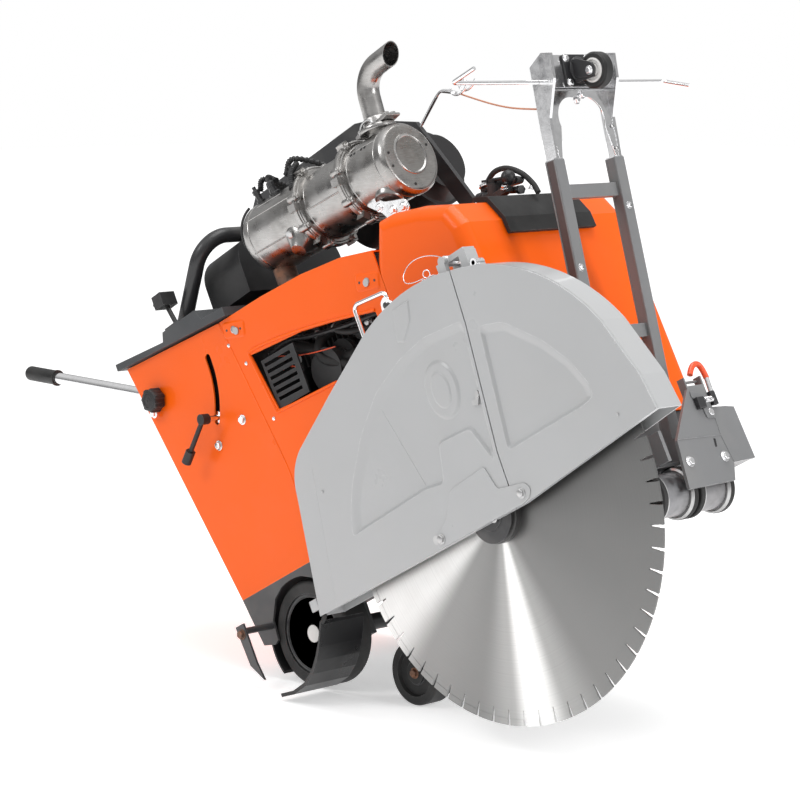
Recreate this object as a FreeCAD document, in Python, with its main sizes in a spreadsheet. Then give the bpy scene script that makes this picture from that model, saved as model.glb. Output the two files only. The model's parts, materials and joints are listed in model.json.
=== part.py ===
import FreeCAD, Part

# Walk-behind concrete saw (floor saw), standing with its front raised on the lift wheels.
# Every sub-part is drawn in the chassis frame and then placed by one tilt about the rear axle:
#   chassis frame: origin on the rear axle, X forward, Y to the left, Z up from the chassis deck.
#   row frame: floor at Z = 0, origin under the middle of the saw's bounding box.

import os
from math import atan2, cos, degrees, hypot, pi, radians, sin, tan

import Sketcher
from FreeCAD import Placement, Rotation, Vector

doc = FreeCAD.newDocument("concrete_saw")

# ---------------------------------------------------------------- driving dimensions (mm, degrees)
DIMENSIONS = {
    "tilt_angle": 28.1,          # nose-up angle of the raised chassis
    "shift_forward": -18.4,      # from the floor point under the rear axle to the row origin
    "shift_side": 26.05,
    "body_half": 270.0,          # half the width over the side panels
    "sheet": 4.0,                # body panels
    "skirt_thickness": 6.0,
    "deck_level": 152.0,
    "rear_wheel_radius": 127.0,
    "rear_rim_radius": 96.0,
    "rear_wheel_width": 78.0,
    "rear_wheel_face": 261.0,    # outer face, from the centreline
    "front_wheel_radius": 75.0,
    "front_wheel_width": 60.0,
    "front_wheel_face": 212.0,
    "front_axle_forward": 233.0,
    "front_axle_up": -183.0,
    "arm_pivot_forward": 330.0,
    "arm_pivot_up": 40.0,
    "axle_radius": 12.0,
    "running_gap": 0.05,
    "blade_forward": 813.0,
    "blade_up": 9.0,
    "blade_radius": 450.0,
    "blade_core_radius": 437.0,
    "blade_core": 3.6,
    "blade_segment": 4.8,
    "blade_slots": 60,
    "blade_side": 370.0,         # blade plane, to the right of the centreline
    "shaft_radius": 25.0,
    "shaft_end_radius": 12.7,
    "flange_radius": 62.0,
    "guard_outer": 405.0,        # outer face of the guard, right of the centreline
    "guard_width": 69.0,
    "guard_sheet": 3.0,
    "guard_pivot_forward": 930.0,
    "guard_pivot_up": 540.0,
    "handle_pivot_back": -250.0,
    "handle_pivot_up": 704.0,
    "handle_side": 238.0,
    "handle_radius": 15.0,
    "handle_length": 585.0,
    "handle_rise": 29.3,         # handle's slope above the chassis, degrees
    "grip_radius": 19.0,
    "grip_length": 125.0,
    "clamp_reach": 224.0,        # pivot to the clamp stud in the curved slot
    "clamp_low": -34.0,
    "clamp_high": 4.0,
    "can_radius": 84.0,          # exhaust filter canister
    "can_side": -140.0,
    "can_drop": 4.56,
    "tailpipe_radius": 26.0,
    "hoop_radius": 19.0,
    "ladder_pivot_forward": 926.0,
    "ladder_pivot_up": 45.0,
    "ladder_lean": 12.0,
    "ladder_height": 670.0,
    "ladder_half": 112.5,
    "ladder_bar": 30.0,
    "cross_rod_radius": 4.5,
    "caster_radius": 40.0,
    "caster_width": 26.0,
    "bail_thickness": 12.0,
    "bail_eye_radius": 14.0,
    "flap_thickness": 8.0,
}

sheet = doc.addObject("Spreadsheet::Sheet", "Dims")
for row, (alias, value) in enumerate(DIMENSIONS.items(), start=1):
    sheet.set(f"A{row}", alias.replace("_", " "))
    sheet.set(f"B{row}", str(value))
    sheet.setAlias(f"B{row}", alias)
doc.recompute()


def dim(alias):
    """Value of a driving dimension, read back from the sheet."""
    return float(sheet.get(alias))


TILT = Placement(
    Vector(dim("shift_forward"), dim("shift_side"), dim("rear_wheel_radius")),
    Rotation(Vector(0, 1, 0), -dim("tilt_angle")),
)
FLOOR = Placement(Vector(dim("shift_forward"), dim("shift_side"), 0), Rotation())
SIDE = Vector(0, 1, 0)
UP = Vector(0, 0, 1)
FORWARD = Vector(1, 0, 0)
nodes = []


# ---------------------------------------------------------------- modelling helpers
def bind(obj, prop, size):
    """Set a size to a number, or bind it to the sheet when it is an expression."""
    if isinstance(size, str):
        obj.setExpression(prop, size)
    else:
        setattr(obj, prop, size)


def keep(obj, name, place=None):
    """Name an object as a finished sub-part and put it in the row frame."""
    obj.Label = name
    obj.Placement = TILT.multiply(place) if place else TILT
    nodes.append(obj)
    return obj


def block(size, corner, name="block"):
    box = doc.addObject("Part::Box", name)
    for prop, value in zip(("Length", "Width", "Height"), size):
        bind(box, prop, value)
    box.Placement = Placement(Vector(*corner), Rotation())
    return box


def bar(radius, length, start, axis, name="bar"):
    cyl = doc.addObject("Part::Cylinder", name)
    bind(cyl, "Radius", radius)
    bind(cyl, "Height", length)
    cyl.Placement = Placement(Vector(*start), Rotation(UP, Vector(*axis)))
    return cyl


def weld(pieces, name):
    fused = doc.addObject("Part::MultiFuse", name + "_weld")
    fused.Shapes = pieces
    return fused


def bored(base, tool, name):
    cut = doc.addObject("Part::Cut", name + "_cut")
    cut.Base = base
    cut.Tool = tool
    return cut


def draw_loop(sketch, loop):
    """Closed loop. A point (x, y) ends a line; (mx, my, x, y) ends an arc through (mx, my).

    A loop ("circle", x, y, radius) is one circle, its radius a number or an expression.
    """
    if loop[0] == "circle":
        _, x, y, radius = loop
        index = sketch.addGeometry(Part.Circle(Vector(x, y, 0), Vector(0, 0, 1), 10.0))
        if isinstance(radius, str):
            number = sketch.addConstraint(Sketcher.Constraint("Radius", index, 10.0))
            sketch.setExpression(f"Constraints[{number}]", radius)
        else:
            sketch.addConstraint(Sketcher.Constraint("Radius", index, radius))
        return
    first = sketch.GeometryCount
    here = Vector(loop[-1][-2], loop[-1][-1], 0)
    for point in loop:
        there = Vector(point[-2], point[-1], 0)
        if len(point) == 4:
            edge = Part.Arc(here, Vector(point[0], point[1], 0), there)
        else:
            edge = Part.LineSegment(here, there)
        sketch.addGeometry(edge)
        here = there
    last = sketch.GeometryCount - 1
    for index in range(first, last):
        if len(loop[index - first]) == 2 and len(loop[index - first + 1]) == 2:
            sketch.addConstraint(Sketcher.Constraint("Coincident", index, 2, index + 1, 1))


def new_sketch(body, plane, offset, loops):
    sketch = body.newObject("Sketcher::SketchObject", body.Name + "_sketch")
    origin = [f for f in body.Origin.OriginFeatures if f.Role == plane][0]
    sketch.AttachmentSupport = [(origin, "")]
    sketch.MapMode = "FlatFace"
    sketch.AttachmentOffset = Placement(Vector(0, 0, offset), Rotation())
    for loop in loops:
        draw_loop(sketch, loop)
    return sketch


def pad(body, plane, offset, loops, depth):
    """Pad a profile. XZ_Plane pads run towards -Y, YZ_Plane towards +X, XY_Plane towards +Z."""
    feature = body.newObject("PartDesign::Pad", body.Name + "_pad")
    feature.Profile = new_sketch(body, plane, offset, loops)
    bind(feature, "Length", depth)
    return feature


def side_plate(name, loops, high_side, depth, more=()):
    """Plate parallel to the side panels, from Y = high_side towards -Y."""
    body = doc.addObject("PartDesign::Body", name)
    pad(body, "XZ_Plane", -high_side, loops, depth)
    for extra_loops, extra_side, extra_depth in more:
        pad(body, "XZ_Plane", -extra_side, extra_loops, extra_depth)
    return body


def turned(name, profile, centre, axis):
    """Turned part: profile points (radius, height) about the local Z axis, which lies along axis."""
    body = doc.addObject("PartDesign::Body", name)
    feature = body.newObject("PartDesign::Revolution", name + "_turn")
    feature.Profile = new_sketch(body, "XZ_Plane", 0, [profile])
    feature.ReferenceAxis = (feature.Profile[0], ["V_Axis"])
    feature.Angle = 360
    return keep(body, name, Placement(Vector(*centre), Rotation(UP, Vector(*axis))))


def shell(body, feature, wall, open_face, join=1):
    """Hollow a padded body to its wall, leaving open the faces that open_face accepts."""
    doc.recompute()
    faces = feature.Shape.Faces
    chosen = [f"Face{i + 1}" for i, face in enumerate(faces) if open_face(face)]
    thickness = body.newObject("PartDesign::Thickness", body.Name + "_shell")
    thickness.Base = (feature, chosen)
    thickness.Reversed = True
    thickness.Join = join
    bind(thickness, "Value", wall)
    return thickness


def bent_path(points, bend):
    """Wire of straight runs joined by tangent arcs of radius bend."""
    corners = [Vector(*p) for p in points]
    edges = []
    here = corners[0]
    for before, corner, after in zip(corners, corners[1:], corners[2:]):
        inward = (before - corner).normalize()
        outward = (after - corner).normalize()
        half = inward.getAngle(outward) / 2
        trim = bend / tan(half)
        start = corner + inward * trim
        end = corner + outward * trim
        bisector = (inward + outward).normalize()
        middle = corner + bisector * (bend / sin(half) - bend)
        edges.append(Part.LineSegment(here, start).toShape())
        edges.append(Part.Arc(start, middle, end).toShape())
        here = end
    edges.append(Part.LineSegment(here, corners[-1]).toShape())
    return Part.Wire(edges)


def tube_shape(points, radius, bend, bore=0.0):
    wire = bent_path(points, bend)
    start = Vector(*points[0])
    direction = Vector(*points[1]) - start

    def sweep(section_radius):
        section = Part.Wire(Part.makeCircle(section_radius, start, direction))
        return wire.makePipeShell([section], True, False)

    solid = sweep(radius)
    return solid.cut(sweep(bore)) if bore else solid


def shaped(name, shape, place=None):
    """Sub-part whose shape is computed: bent tubes and swept strips."""
    feature = doc.addObject("Part::Feature", name)
    feature.Shape = shape
    return keep(feature, name, place)


def polar(x, y, radius, angle):
    return (x + radius * cos(radians(angle)), y + radius * sin(radians(angle)))


def curved_slot(x, y, radius, half_width, low, high):
    """Slot concentric with (x, y), its end centres at the angles low and high."""
    middle = (low + high) / 2
    outer = radius + half_width
    inner = radius - half_width
    start = polar(x, y, inner, low)
    low_end = polar(x, y, radius, low)
    high_end = polar(x, y, radius, high)
    cap = half_width
    low_tip = (low_end[0] + cap * sin(radians(low)), low_end[1] - cap * cos(radians(low)))
    high_tip = (high_end[0] - cap * sin(radians(high)), high_end[1] + cap * cos(radians(high)))
    return [
        low_tip + polar(x, y, outer, low),
        polar(x, y, outer, middle) + polar(x, y, outer, high),
        high_tip + polar(x, y, inner, high),
        polar(x, y, inner, middle) + start,
    ]


def rectangle(low_x, low_y, high_x, high_y):
    return [(low_x, low_y), (high_x, low_y), (high_x, high_y), (low_x, high_y)]


def mirrored_pair(make):
    """Build the same piece for the right (-1) and the left (+1)."""
    for side, word in ((-1, "right"), (1, "left")):
        make(side, word)


# ---------------------------------------------------------------- main values in python
body_half = dim("body_half")
panel = dim("sheet")
inside = body_half - panel
deck = dim("deck_level")
blade_x = dim("blade_forward")
blade_z = dim("blade_up")
blade_y = -dim("blade_side")

# ---------------------------------------------------------------- chassis
rail_inner = 100
rail_wide = 40
rail_low = 40
floor_low = 140
front_x = 884
skirt_bottom = 60

skirt_loop = [
    (-190, deck), (-167, 29), (-128, 18), (-112, 25), (-108, 72), (-75, 116), (-40, 133),
    (0, 138, 40, 133), (75, 116), (112, 78), (140, skirt_bottom), (front_x, skirt_bottom),
    (front_x, deck),
]
skirts = []
for side in (-1, 1):
    skirt = doc.addObject("PartDesign::Body", "skirt")
    start = -body_half if side > 0 else body_half - dim("skirt_thickness")
    pad(skirt, "XZ_Plane", start, [skirt_loop], "Dims.skirt_thickness")
    skirts.append(skirt)
frame_pieces = list(skirts)
skirt_inner = body_half - dim("skirt_thickness")
frame_pieces.append(block((front_x + 180, 2 * skirt_inner, 6), (-180, -skirt_inner, floor_low)))
frame_pieces.append(block((8, 2 * body_half, deck - skirt_bottom), (front_x, -body_half, skirt_bottom)))
for side in (-1, 1):
    low_y = rail_inner if side > 0 else -rail_inner - rail_wide
    frame_pieces.append(block((870, rail_wide, floor_low - rail_low), (-120, low_y, rail_low)))
    frame_pieces.append(block((80, rail_wide, 75), (-40, low_y, -35)))
    frame_pieces.append(block((80, rail_wide, 50), (290, low_y, -10)))
pointer_rod = (-117, 62)
rod_root = (pointer_rod[0], -body_half + 4, pointer_rod[1])
frame_pieces.append(bar(8, 94, rod_root, (0, -1, 0), "rear_pointer_rod"))
frame_pieces.append(bar(5, 104, rod_root, (0, -1, 0), "rear_pointer_pin"))

axle_cut = weld([
    bar("Dims.axle_radius + 8", 300, (0, -150, 0), (0, 1, 0), "rear_axle_bore"),
    bar("Dims.axle_radius + Dims.running_gap", 300,
        (dim("arm_pivot_forward"), -150, dim("arm_pivot_up")), (0, 1, 0), "arm_pivot_bore"),
], "frame_bores")
keep(bored(weld(frame_pieces, "frame"), axle_cut, "frame"), "chassis_frame")

stub_reach = dim("rear_wheel_face") - 6
keep(weld([
    bar("Dims.axle_radius + 8", 360, (0, -180, 0), (0, 1, 0), "axle_tube"),
    bar("Dims.axle_radius", 2 * stub_reach, (0, -stub_reach, 0), (0, 1, 0), "axle_stubs"),
], "axle"), "rear_axle")

# ---------------------------------------------------------------- wheels
rear_r = dim("rear_wheel_radius")
rim_r = dim("rear_rim_radius")
rear_w = dim("rear_wheel_width")
bore_r = dim("axle_radius") + dim("running_gap")


def rear_wheel(side, word):
    centre = (0, side * (dim("rear_wheel_face") - rear_w / 2), 0)
    half = rear_w / 2
    tyre = [
        (rim_r, -half), (rear_r - 10, -half), (rear_r - 3, -half + 3, rear_r, -half + 10),
        (rear_r, half - 10), (rear_r - 3, half - 3, rear_r - 10, half), (rim_r, half),
    ]
    turned("rear_tyre_" + word, tyre, centre, (0, side, 0))
    rim = [
        (bore_r, -half + 6), (34, -half + 6), (34, -6), (78, -6), (82, -half + 2),
        (rim_r, -half + 2), (rim_r, half - 4), (86, half - 4), (80, 8), (34, 8), (34, half - 14),
        (bore_r, half - 14),
    ]
    turned("rear_rim_" + word, rim, centre, (0, side, 0))


mirrored_pair(rear_wheel)

front_x_axle = dim("front_axle_forward")
front_z_axle = dim("front_axle_up")
front_r = dim("front_wheel_radius")


def front_wheel(side, word):
    half = dim("front_wheel_width") / 2
    centre = (front_x_axle, side * (dim("front_wheel_face") - half), front_z_axle)
    profile = [
        (bore_r, -half + 4), (26, -half + 4), (26, -half + 10), (50, -half + 10), (54, -half),
        (front_r - 6, -half), (front_r - 2, -half + 2, front_r, -half + 6), (front_r, half - 6),
        (front_r - 2, half - 2, front_r - 6, half), (54, half), (50, half - 10), (26, half - 10),
        (26, half - 4), (bore_r, half - 4),
    ]
    turned("front_wheel_" + word, profile, centre, (0, side, 0))


mirrored_pair(front_wheel)

pivot_x = dim("arm_pivot_forward")
pivot_z = dim("arm_pivot_up")
arm_pieces = [
    bar("Dims.axle_radius", 2 * 138, (pivot_x, -138, pivot_z), (0, 1, 0), "arm_pivot_pin"),
    bar(24, 190, (pivot_x, -95, pivot_z), (0, 1, 0), "arm_pivot_tube"),
    bar("Dims.axle_radius", 2 * 208, (front_x_axle, -208, front_z_axle), (0, 1, 0), "front_axle"),
    bar(20, 290, (front_x_axle, -145, front_z_axle), (0, 1, 0), "front_axle_tube"),
]
arm_length = hypot(front_x_axle - pivot_x, front_z_axle - pivot_z)
arm_angle = degrees(atan2(front_z_axle - pivot_z, front_x_axle - pivot_x))
for arm_side in (-85, 65):
    arm = doc.addObject("Part::Box", "arm_plate")
    arm.Length = arm_length
    arm.Width = 20
    arm.Height = 36
    arm.Placement = Placement(Vector(pivot_x, arm_side, pivot_z), Rotation(SIDE, -arm_angle)).multiply(
        Placement(Vector(0, 0, -18), Rotation()))
    arm_pieces.append(arm)
keep(weld(arm_pieces, "lift_arm"), "lift_arm")

# ---------------------------------------------------------------- rear body and console
handle_x = dim("handle_pivot_back")
handle_z = dim("handle_pivot_up")
seam = [(122, 345), (87, 563), (49, 777)]
rear_outline = [(-190, deck), (100, deck)] + seam + [(-331, 819)]


def rear_side_panel(side, word):
    loops = [rear_outline, ("circle", handle_x, handle_z, 16.0)]
    if side < 0:
        loops.append(curved_slot(handle_x, handle_z, dim("clamp_reach"), 10,
                                 dim("clamp_low") - 2, dim("clamp_high")))
    high = -inside if side < 0 else body_half
    keep(side_plate("rear_side_panel_" + word, loops, high, "Dims.sheet"), "rear_side_panel_" + word)


mirrored_pair(rear_side_panel)

# rear panel leans back; its own frame has Z along the panel
panel_foot = Vector(-190, 0, deck)
panel_top = Vector(-331, 0, 819)
panel_height = (panel_top - panel_foot).Length
panel_lean = degrees(atan2(panel_foot.x - panel_top.x, panel_top.z - panel_foot.z))
rear_body = doc.addObject("PartDesign::Body", "rear_panel")
slot_half = 24
handle_side = dim("handle_side")
pad(rear_body, "YZ_Plane", 0, [
    rectangle(-inside + 0.5, 0, inside - 0.5, panel_height),
    rectangle(-handle_side - slot_half, 530, -handle_side + slot_half, 655),
    rectangle(handle_side - slot_half, 530, handle_side + slot_half, 655),
], "Dims.sheet")
keep(rear_body, "rear_panel", Placement(panel_foot, Rotation(SIDE, -panel_lean)))

console_half = body_half + 14
console_outline = [
    (-352, 824), (-352, 842), (-150, 816), (-140, 838), (-4, 836), (12, 806), (97, 800), (97, 778),
]
lever_y = -248
lever_x = -120
console_cap = side_plate("console_cap", [console_outline], console_half, 2 * console_half)
keep(weld([console_cap, block((60, 60, 12), (lever_x - 15, lever_y - 30, 832), "lever_base")], "console"),
     "console")

lever_parts = [
    bar(6, 60, (lever_x, lever_y, 847), (-0.25, 0, 1), "lever_stem"),
    block((36, 46, 34), (lever_x - 34, lever_y - 23, 902), "lever_head"),
    bar(5, 24, (lever_x - 34, lever_y, 922), (-1, 0, 0.1), "lever_stub"),
]
keep(weld(lever_parts, "speed_lever"), "speed_lever")

# ---------------------------------------------------------------- hood
hood_front = 620
top_edge = [(53, 777), (222, 770), (375, 757), (518, 734), (hood_front, 704)]
hood_outline = [(hood_front, deck), (102, deck), (124, 345), (89, 563)] + top_edge
window = [
    (575, 465), (357, 493), (256, 500), (155, 510), (123, 662), (312, 640), (451, 609), (566, 578),
]
flange_loop = top_edge + [(x, z - panel) for x, z in reversed(top_edge)]
flange_reach = 45


def hood_side(side, word):
    high = -inside if side < 0 else body_half
    flange_high = -inside + flange_reach if side < 0 else inside + 1
    body = side_plate("hood_side_" + word, [hood_outline, window], high, "Dims.sheet",
                      [([flange_loop], flange_high, flange_reach + 1)])
    keep(body, "hood_side_" + word)


mirrored_pair(hood_side)

bonnet_outline = [
    (622, deck), (622, 700), (655, 760), (700, 757), (797, 728), (875, 694), (900, 640), (905, 217),
    (905, deck),
]
bonnet = doc.addObject("PartDesign::Body", "bonnet")
bonnet_pad = pad(bonnet, "XZ_Plane", -body_half, [bonnet_outline], "2 * Dims.body_half")
doc.recompute()
long_edges = []
for number, edge in enumerate(bonnet_pad.Shape.Edges, start=1):
    middle = edge.CenterOfMass
    on_side = abs(abs(middle.y) - body_half) < 1
    if on_side and middle.z > deck + 3 and middle.x > 623:
        long_edges.append(f"Edge{number}")
rounding = bonnet.newObject("PartDesign::Fillet", "bonnet_rounding")
rounding.Base = (bonnet_pad, long_edges)
rounding.Radius = 34
shell(bonnet, rounding, "Dims.sheet",
      lambda face: face.CenterOfMass.z < deck + 1 or face.CenterOfMass.x < 623, join=0)
keep(bonnet, "bonnet")

saddle_outline = [
    (840, 710.5), (876, 696), (902, 640), (904, 605), (914, 605), (912, 642), (884, 704), (844, 722),
]
keep(side_plate("bonnet_cap", [saddle_outline], 140, 280), "bonnet_cap")

grille_outline = [(145, 637), (269, 631), (269, 507), (153, 510)]
louvres = []
for step in range(6):
    low = 522 + step * 18
    louvres.append([(163 - step * 2, low + 6), (252, low), (252, low + 9), (163 - step * 2, low + 15)])
keep(side_plate("window_grille", [grille_outline] + louvres, -inside + 6, 5), "window_grille")

valve_y = -24
keep(weld([
    bar(14, 32, (800, valve_y, 737), (0.35, 0, 1), "valve_body"),
    block((60, 24, 14), (790, valve_y - 12, 729), "valve_foot"),
], "water_valve"), "water_valve")
valve_ball = doc.addObject("Part::Sphere", "valve_ball")
valve_ball.Radius = 13
valve_ball.Placement = Placement(Vector(860, valve_y, 759), Rotation())
keep(weld([
    bar(10, 10, (810.8, valve_y, 767.7), (0.35, 0, 1), "valve_hub"),
    bar(4, 40, (814, valve_y, 775), (0.944, 0, -0.33), "valve_arm"),
    valve_ball,
], "valve_handle"), "valve_lever")

# ---------------------------------------------------------------- engine
keep(weld([
    block((430, 300, 300), (110, -150, 215), "crankcase"),
    block((360, 240, 62), (140, -120, 153.5), "oil_pan"),
    bar(70, 40, (325, -150, 330), (0, -1, 0), "side_cover"),
    bar(52, 70, (300, -150, 545), (0, -1, 0), "alternator"),
], "engine_block"), "engine_block")
keep(weld([
    block((400, 230, 210), (120, -95, 515.4), "head_casting"),
    block((360, 150, 60), (140, -60, 725), "rocker_cover"),
    bar(30, 20, (240, 0, 785), (0, 0, 1), "oil_cap"),
], "cylinder_head"), "cylinder_head")

shroud = doc.addObject("PartDesign::Body", "radiator_shroud")
shroud_half = 165
pad(shroud, "YZ_Plane", -70, [[
    (-shroud_half, 842), (shroud_half, 842), (shroud_half, 915),
    (shroud_half - 22, 968, shroud_half - 75, 990), (-shroud_half + 75, 990),
    (-shroud_half + 22, 968, -shroud_half, 915),
]], 150)
keep(shroud, "radiator_shroud")

hoop_side = 200
hoop_points = [(-186, -hoop_side, 822), (20, -hoop_side, 1018), (20, hoop_side, 1018), (-186, hoop_side, 822)]
shaped("roll_hoop", tube_shape(hoop_points, dim("hoop_radius"), 75))

# ---------------------------------------------------------------- exhaust, along its own sloping axis
can_y = dim("can_side")
can_start = Vector(169, can_y, 932.5)
can_axis = Rotation(SIDE, dim("can_drop")).multVec(FORWARD)
can_r = dim("can_radius")


def along_can(distance):
    return tuple(can_start + can_axis * distance)


def can(name, profile, distance):
    turned(name, profile, along_can(distance), tuple(can_axis))


def can_profile(radius, length, dome_start=0, dome_end=0):
    """Canister section from end to end, with rounded rims where a dome size is given."""
    outer = [(0.0, 0.0)]
    if dome_start:
        outer += [(radius - dome_start, 0), (radius - dome_start * 0.3, dome_start * 0.3, radius, dome_start)]
    else:
        outer += [(radius, 0)]
    if dome_end:
        outer += [(radius, length - dome_end),
                  (radius - dome_end * 0.3, length - dome_end * 0.3, radius - dome_end, length)]
    else:
        outer += [(radius, length)]
    outer += [(0.0, length)]
    return outer


clamp_one = 229
clamp_two = 391
outlet_length = 150
can("exhaust_inlet_can", can_profile(can_r + 2, clamp_one, dome_start=26), 0)
can("exhaust_filter_can", can_profile(can_r, clamp_two - clamp_one - 1), clamp_one + 0.5)
can("exhaust_outlet_can", can_profile(can_r, outlet_length, dome_end=10), clamp_two + 0.5)

ring_profile = [(can_r + 2.2, -9), (can_r + 12, -9), (can_r + 14, 0), (can_r + 12, 9), (can_r + 2.2, 9)]
rings = []
for distance in (clamp_one, clamp_two):
    ring = doc.addObject("PartDesign::Body", "clamp_ring")
    turn = ring.newObject("PartDesign::Revolution", "clamp_ring_turn")
    turn.Profile = new_sketch(ring, "XZ_Plane", 0, [ring_profile])
    turn.ReferenceAxis = (turn.Profile[0], ["V_Axis"])
    turn.Angle = 360
    ring_place = Placement(Vector(*along_can(distance)), Rotation(UP, can_axis))
    ring.Placement = ring_place
    rings.append(ring)
    for step in range(6):
        lug = doc.addObject("Part::Box", "clamp_lug")
        lug.Length = 20
        lug.Width = 18
        lug.Height = 24
        lug.Placement = ring_place.multiply(Placement(Vector(), Rotation(UP, 30 + 60 * step))).multiply(
            Placement(Vector(can_r + 4, -9, -12), Rotation()))
        rings.append(lug)
keep(weld(rings, "exhaust_clamps"), "exhaust_clamps")

pipe_start = (640, can_y, 977)
pipe_points = [pipe_start, (657, can_y, 1124), (810, can_y, 1124)]
pipe = tube_shape(pipe_points, dim("tailpipe_radius"), 62, dim("tailpipe_radius") - 2)
mouth = Part.makeBox(120, 200, 200, Vector(0, -100, -100))
mouth.Placement = Placement(Vector(760, can_y, 1124), Rotation(SIDE, dim("tilt_angle")))
shaped("tailpipe", pipe.cut(mouth))

elbow_points = [(194, can_y, 849), (194, can_y, 800), (262, can_y + 28, 768)]
shaped("exhaust_elbow", tube_shape(elbow_points, 28, 36))

turned("air_cleaner", [
    (0, 0), (92, 0), (92, 240), (98, 240), (98, 262), (90, 262), (84, 268, 70, 300), (0, 300),
], (250, 130, 950), (1, 0, 0))

# ---------------------------------------------------------------- lifting bail, on the centreline
bail_outline = [
    (18, 1004), (18, 1090), (37, 1107), (448, 1103), (500, 1086), (636, 1012), (725, 765), (682, 765),
    (600, 985), (440, 1050), (80, 1050), (66, 1004),
]
bail_eye_x = 240
bail = side_plate("bail_plate", [bail_outline, ("circle", bail_eye_x, 1077, "Dims.bail_eye_radius")],
                  dim("bail_thickness") / 2, "Dims.bail_thickness")
hook = doc.addObject("Part::Feature", "hook_wire")
hook.Shape = tube_shape([(628, 0, 990), (735, 0, 1040), (786, 0, 1008)], 3, 12)
keep(weld([bail, hook], "lifting_bail"), "lifting_bail")

# ---------------------------------------------------------------- blade spindle
housing_parts = [bar(48, 500, (blade_x, -250, blade_z), (0, 1, 0), "spindle_tube")]
for low_y in (-rail_inner - rail_wide, rail_inner):
    housing_parts.append(block((124, rail_wide, 190), (752, low_y, -50), "spindle_cheek"))
housing_parts.append(bar(78, 85.5, (blade_x, -250, blade_z), (0, -1, 0), "guard_boss"))
housing = weld(housing_parts, "spindle_housing")
keep(bored(housing, bar("Dims.shaft_radius + Dims.running_gap", 700, (blade_x, -345, blade_z), (0, 1, 0),
                        "spindle_bore"), "spindle_housing"), "spindle_housing")

shaft_left = 300
keep(weld([
    bar("Dims.shaft_radius", shaft_left + 366, (blade_x, -366, blade_z), (0, 1, 0), "spindle_body"),
    bar("Dims.shaft_end_radius", 60, (blade_x, shaft_left, blade_z), (0, 1, 0), "spindle_left_end"),
    bar("Dims.shaft_end_radius", 34, (blade_x, -366, blade_z), (0, -1, 0), "spindle_right_end"),
], "blade_shaft"), "blade_shaft")

core_half = dim("blade_core") / 2
flange_r = dim("flange_radius")
inner_depth = 23
hub_r = dim("shaft_radius")
turned("inner_flange", [
    (hub_r, 0), (40, 0), (flange_r, 8), (flange_r, inner_depth), (hub_r, inner_depth),
], (blade_x, blade_y + core_half + inner_depth, blade_z), (0, -1, 0))
end_r = dim("shaft_end_radius")
turned("outer_flange", [
    (end_r, 0), (flange_r, 0), (flange_r, 14), (48, 20), (30, 20), (30, 26), (end_r, 26),
], (blade_x, blade_y - core_half, blade_z), (0, -1, 0))

core_r = dim("blade_core_radius")
slot_deep = 20
pitch = 360 / dim("blade_slots")
rim = []
for number in range(int(dim("blade_slots"))):
    angle = number * pitch
    rim.append(polar(0, 0, core_r, angle + 0.35))
    rim.append(polar(0, 0, core_r, angle + pitch - 0.35))
    rim.append(polar(0, 0, core_r - slot_deep, angle + pitch - 0.2))
    rim.append(polar(0, 0, core_r - slot_deep, angle + pitch + 0.2))
blade_body = doc.addObject("PartDesign::Body", "blade")
pad(blade_body, "XZ_Plane", -core_half, [rim, ("circle", 0, 0, "Dims.shaft_end_radius")], "Dims.blade_core")
segment_pad = pad(blade_body, "XZ_Plane", -dim("blade_segment") / 2, [
    [polar(0, 0, core_r - 1, 0.45), polar(0, 0, core_r - 1, pitch - 0.45),
     polar(0, 0, dim("blade_radius"), pitch - 0.45),
     polar(0, 0, dim("blade_radius"), pitch / 2) + polar(0, 0, dim("blade_radius"), 0.45)],
], "Dims.blade_segment")
ring_of_segments = blade_body.newObject("PartDesign::PolarPattern", "segments")
ring_of_segments.Originals = [segment_pad]
y_axis = [f for f in blade_body.Origin.OriginFeatures if f.Role == "Y_Axis"][0]
ring_of_segments.Axis = (y_axis, [""])
ring_of_segments.Angle = 360
ring_of_segments.setExpression("Occurrences", "Dims.blade_slots")
blade_body.Tip = ring_of_segments
keep(blade_body, "blade", Placement(Vector(blade_x, blade_y, blade_z), Rotation()))

# ---------------------------------------------------------------- blade guard, in two halves
guard_outer = -dim("guard_outer")
guard_inner = guard_outer + dim("guard_width")
guard_low = -8
split = [(902, guard_low), (905, 115), (945, 390), (954, 509)]
hinge_x = dim("guard_pivot_forward")
hinge_z = dim("guard_pivot_up")
rear_guard_loop = [(217, guard_low)] + split + [
    (800, 526, 640, 492), (486, 424), (338, 354), (296, 318, 275, 262),
]
front_guard_loop = [
    (932, guard_low), (1348, 32), (1338, 108), (1292, 246), (1142, 428, 955.5, 509),
    (946.5, 390), (906.5, 115), (903.5, guard_low),
]


def guard_half(loop, opening, name):
    body = doc.addObject("PartDesign::Body", name + "_skin")
    skin = pad(body, "XZ_Plane", -guard_inner, [loop], "Dims.guard_width")
    shell(body, skin, "Dims.guard_sheet", opening)
    return body


def low_or_split(face):
    """The faces a guard half is open at: its bottom edge and the joint between the halves."""
    middle = face.CenterOfMass
    edgewise = abs(face.normalAt(0, 0).y) < 0.5
    near_split = 880 < middle.x < 960 and middle.z < 505
    return edgewise and (middle.z < 20 or near_split)


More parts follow.
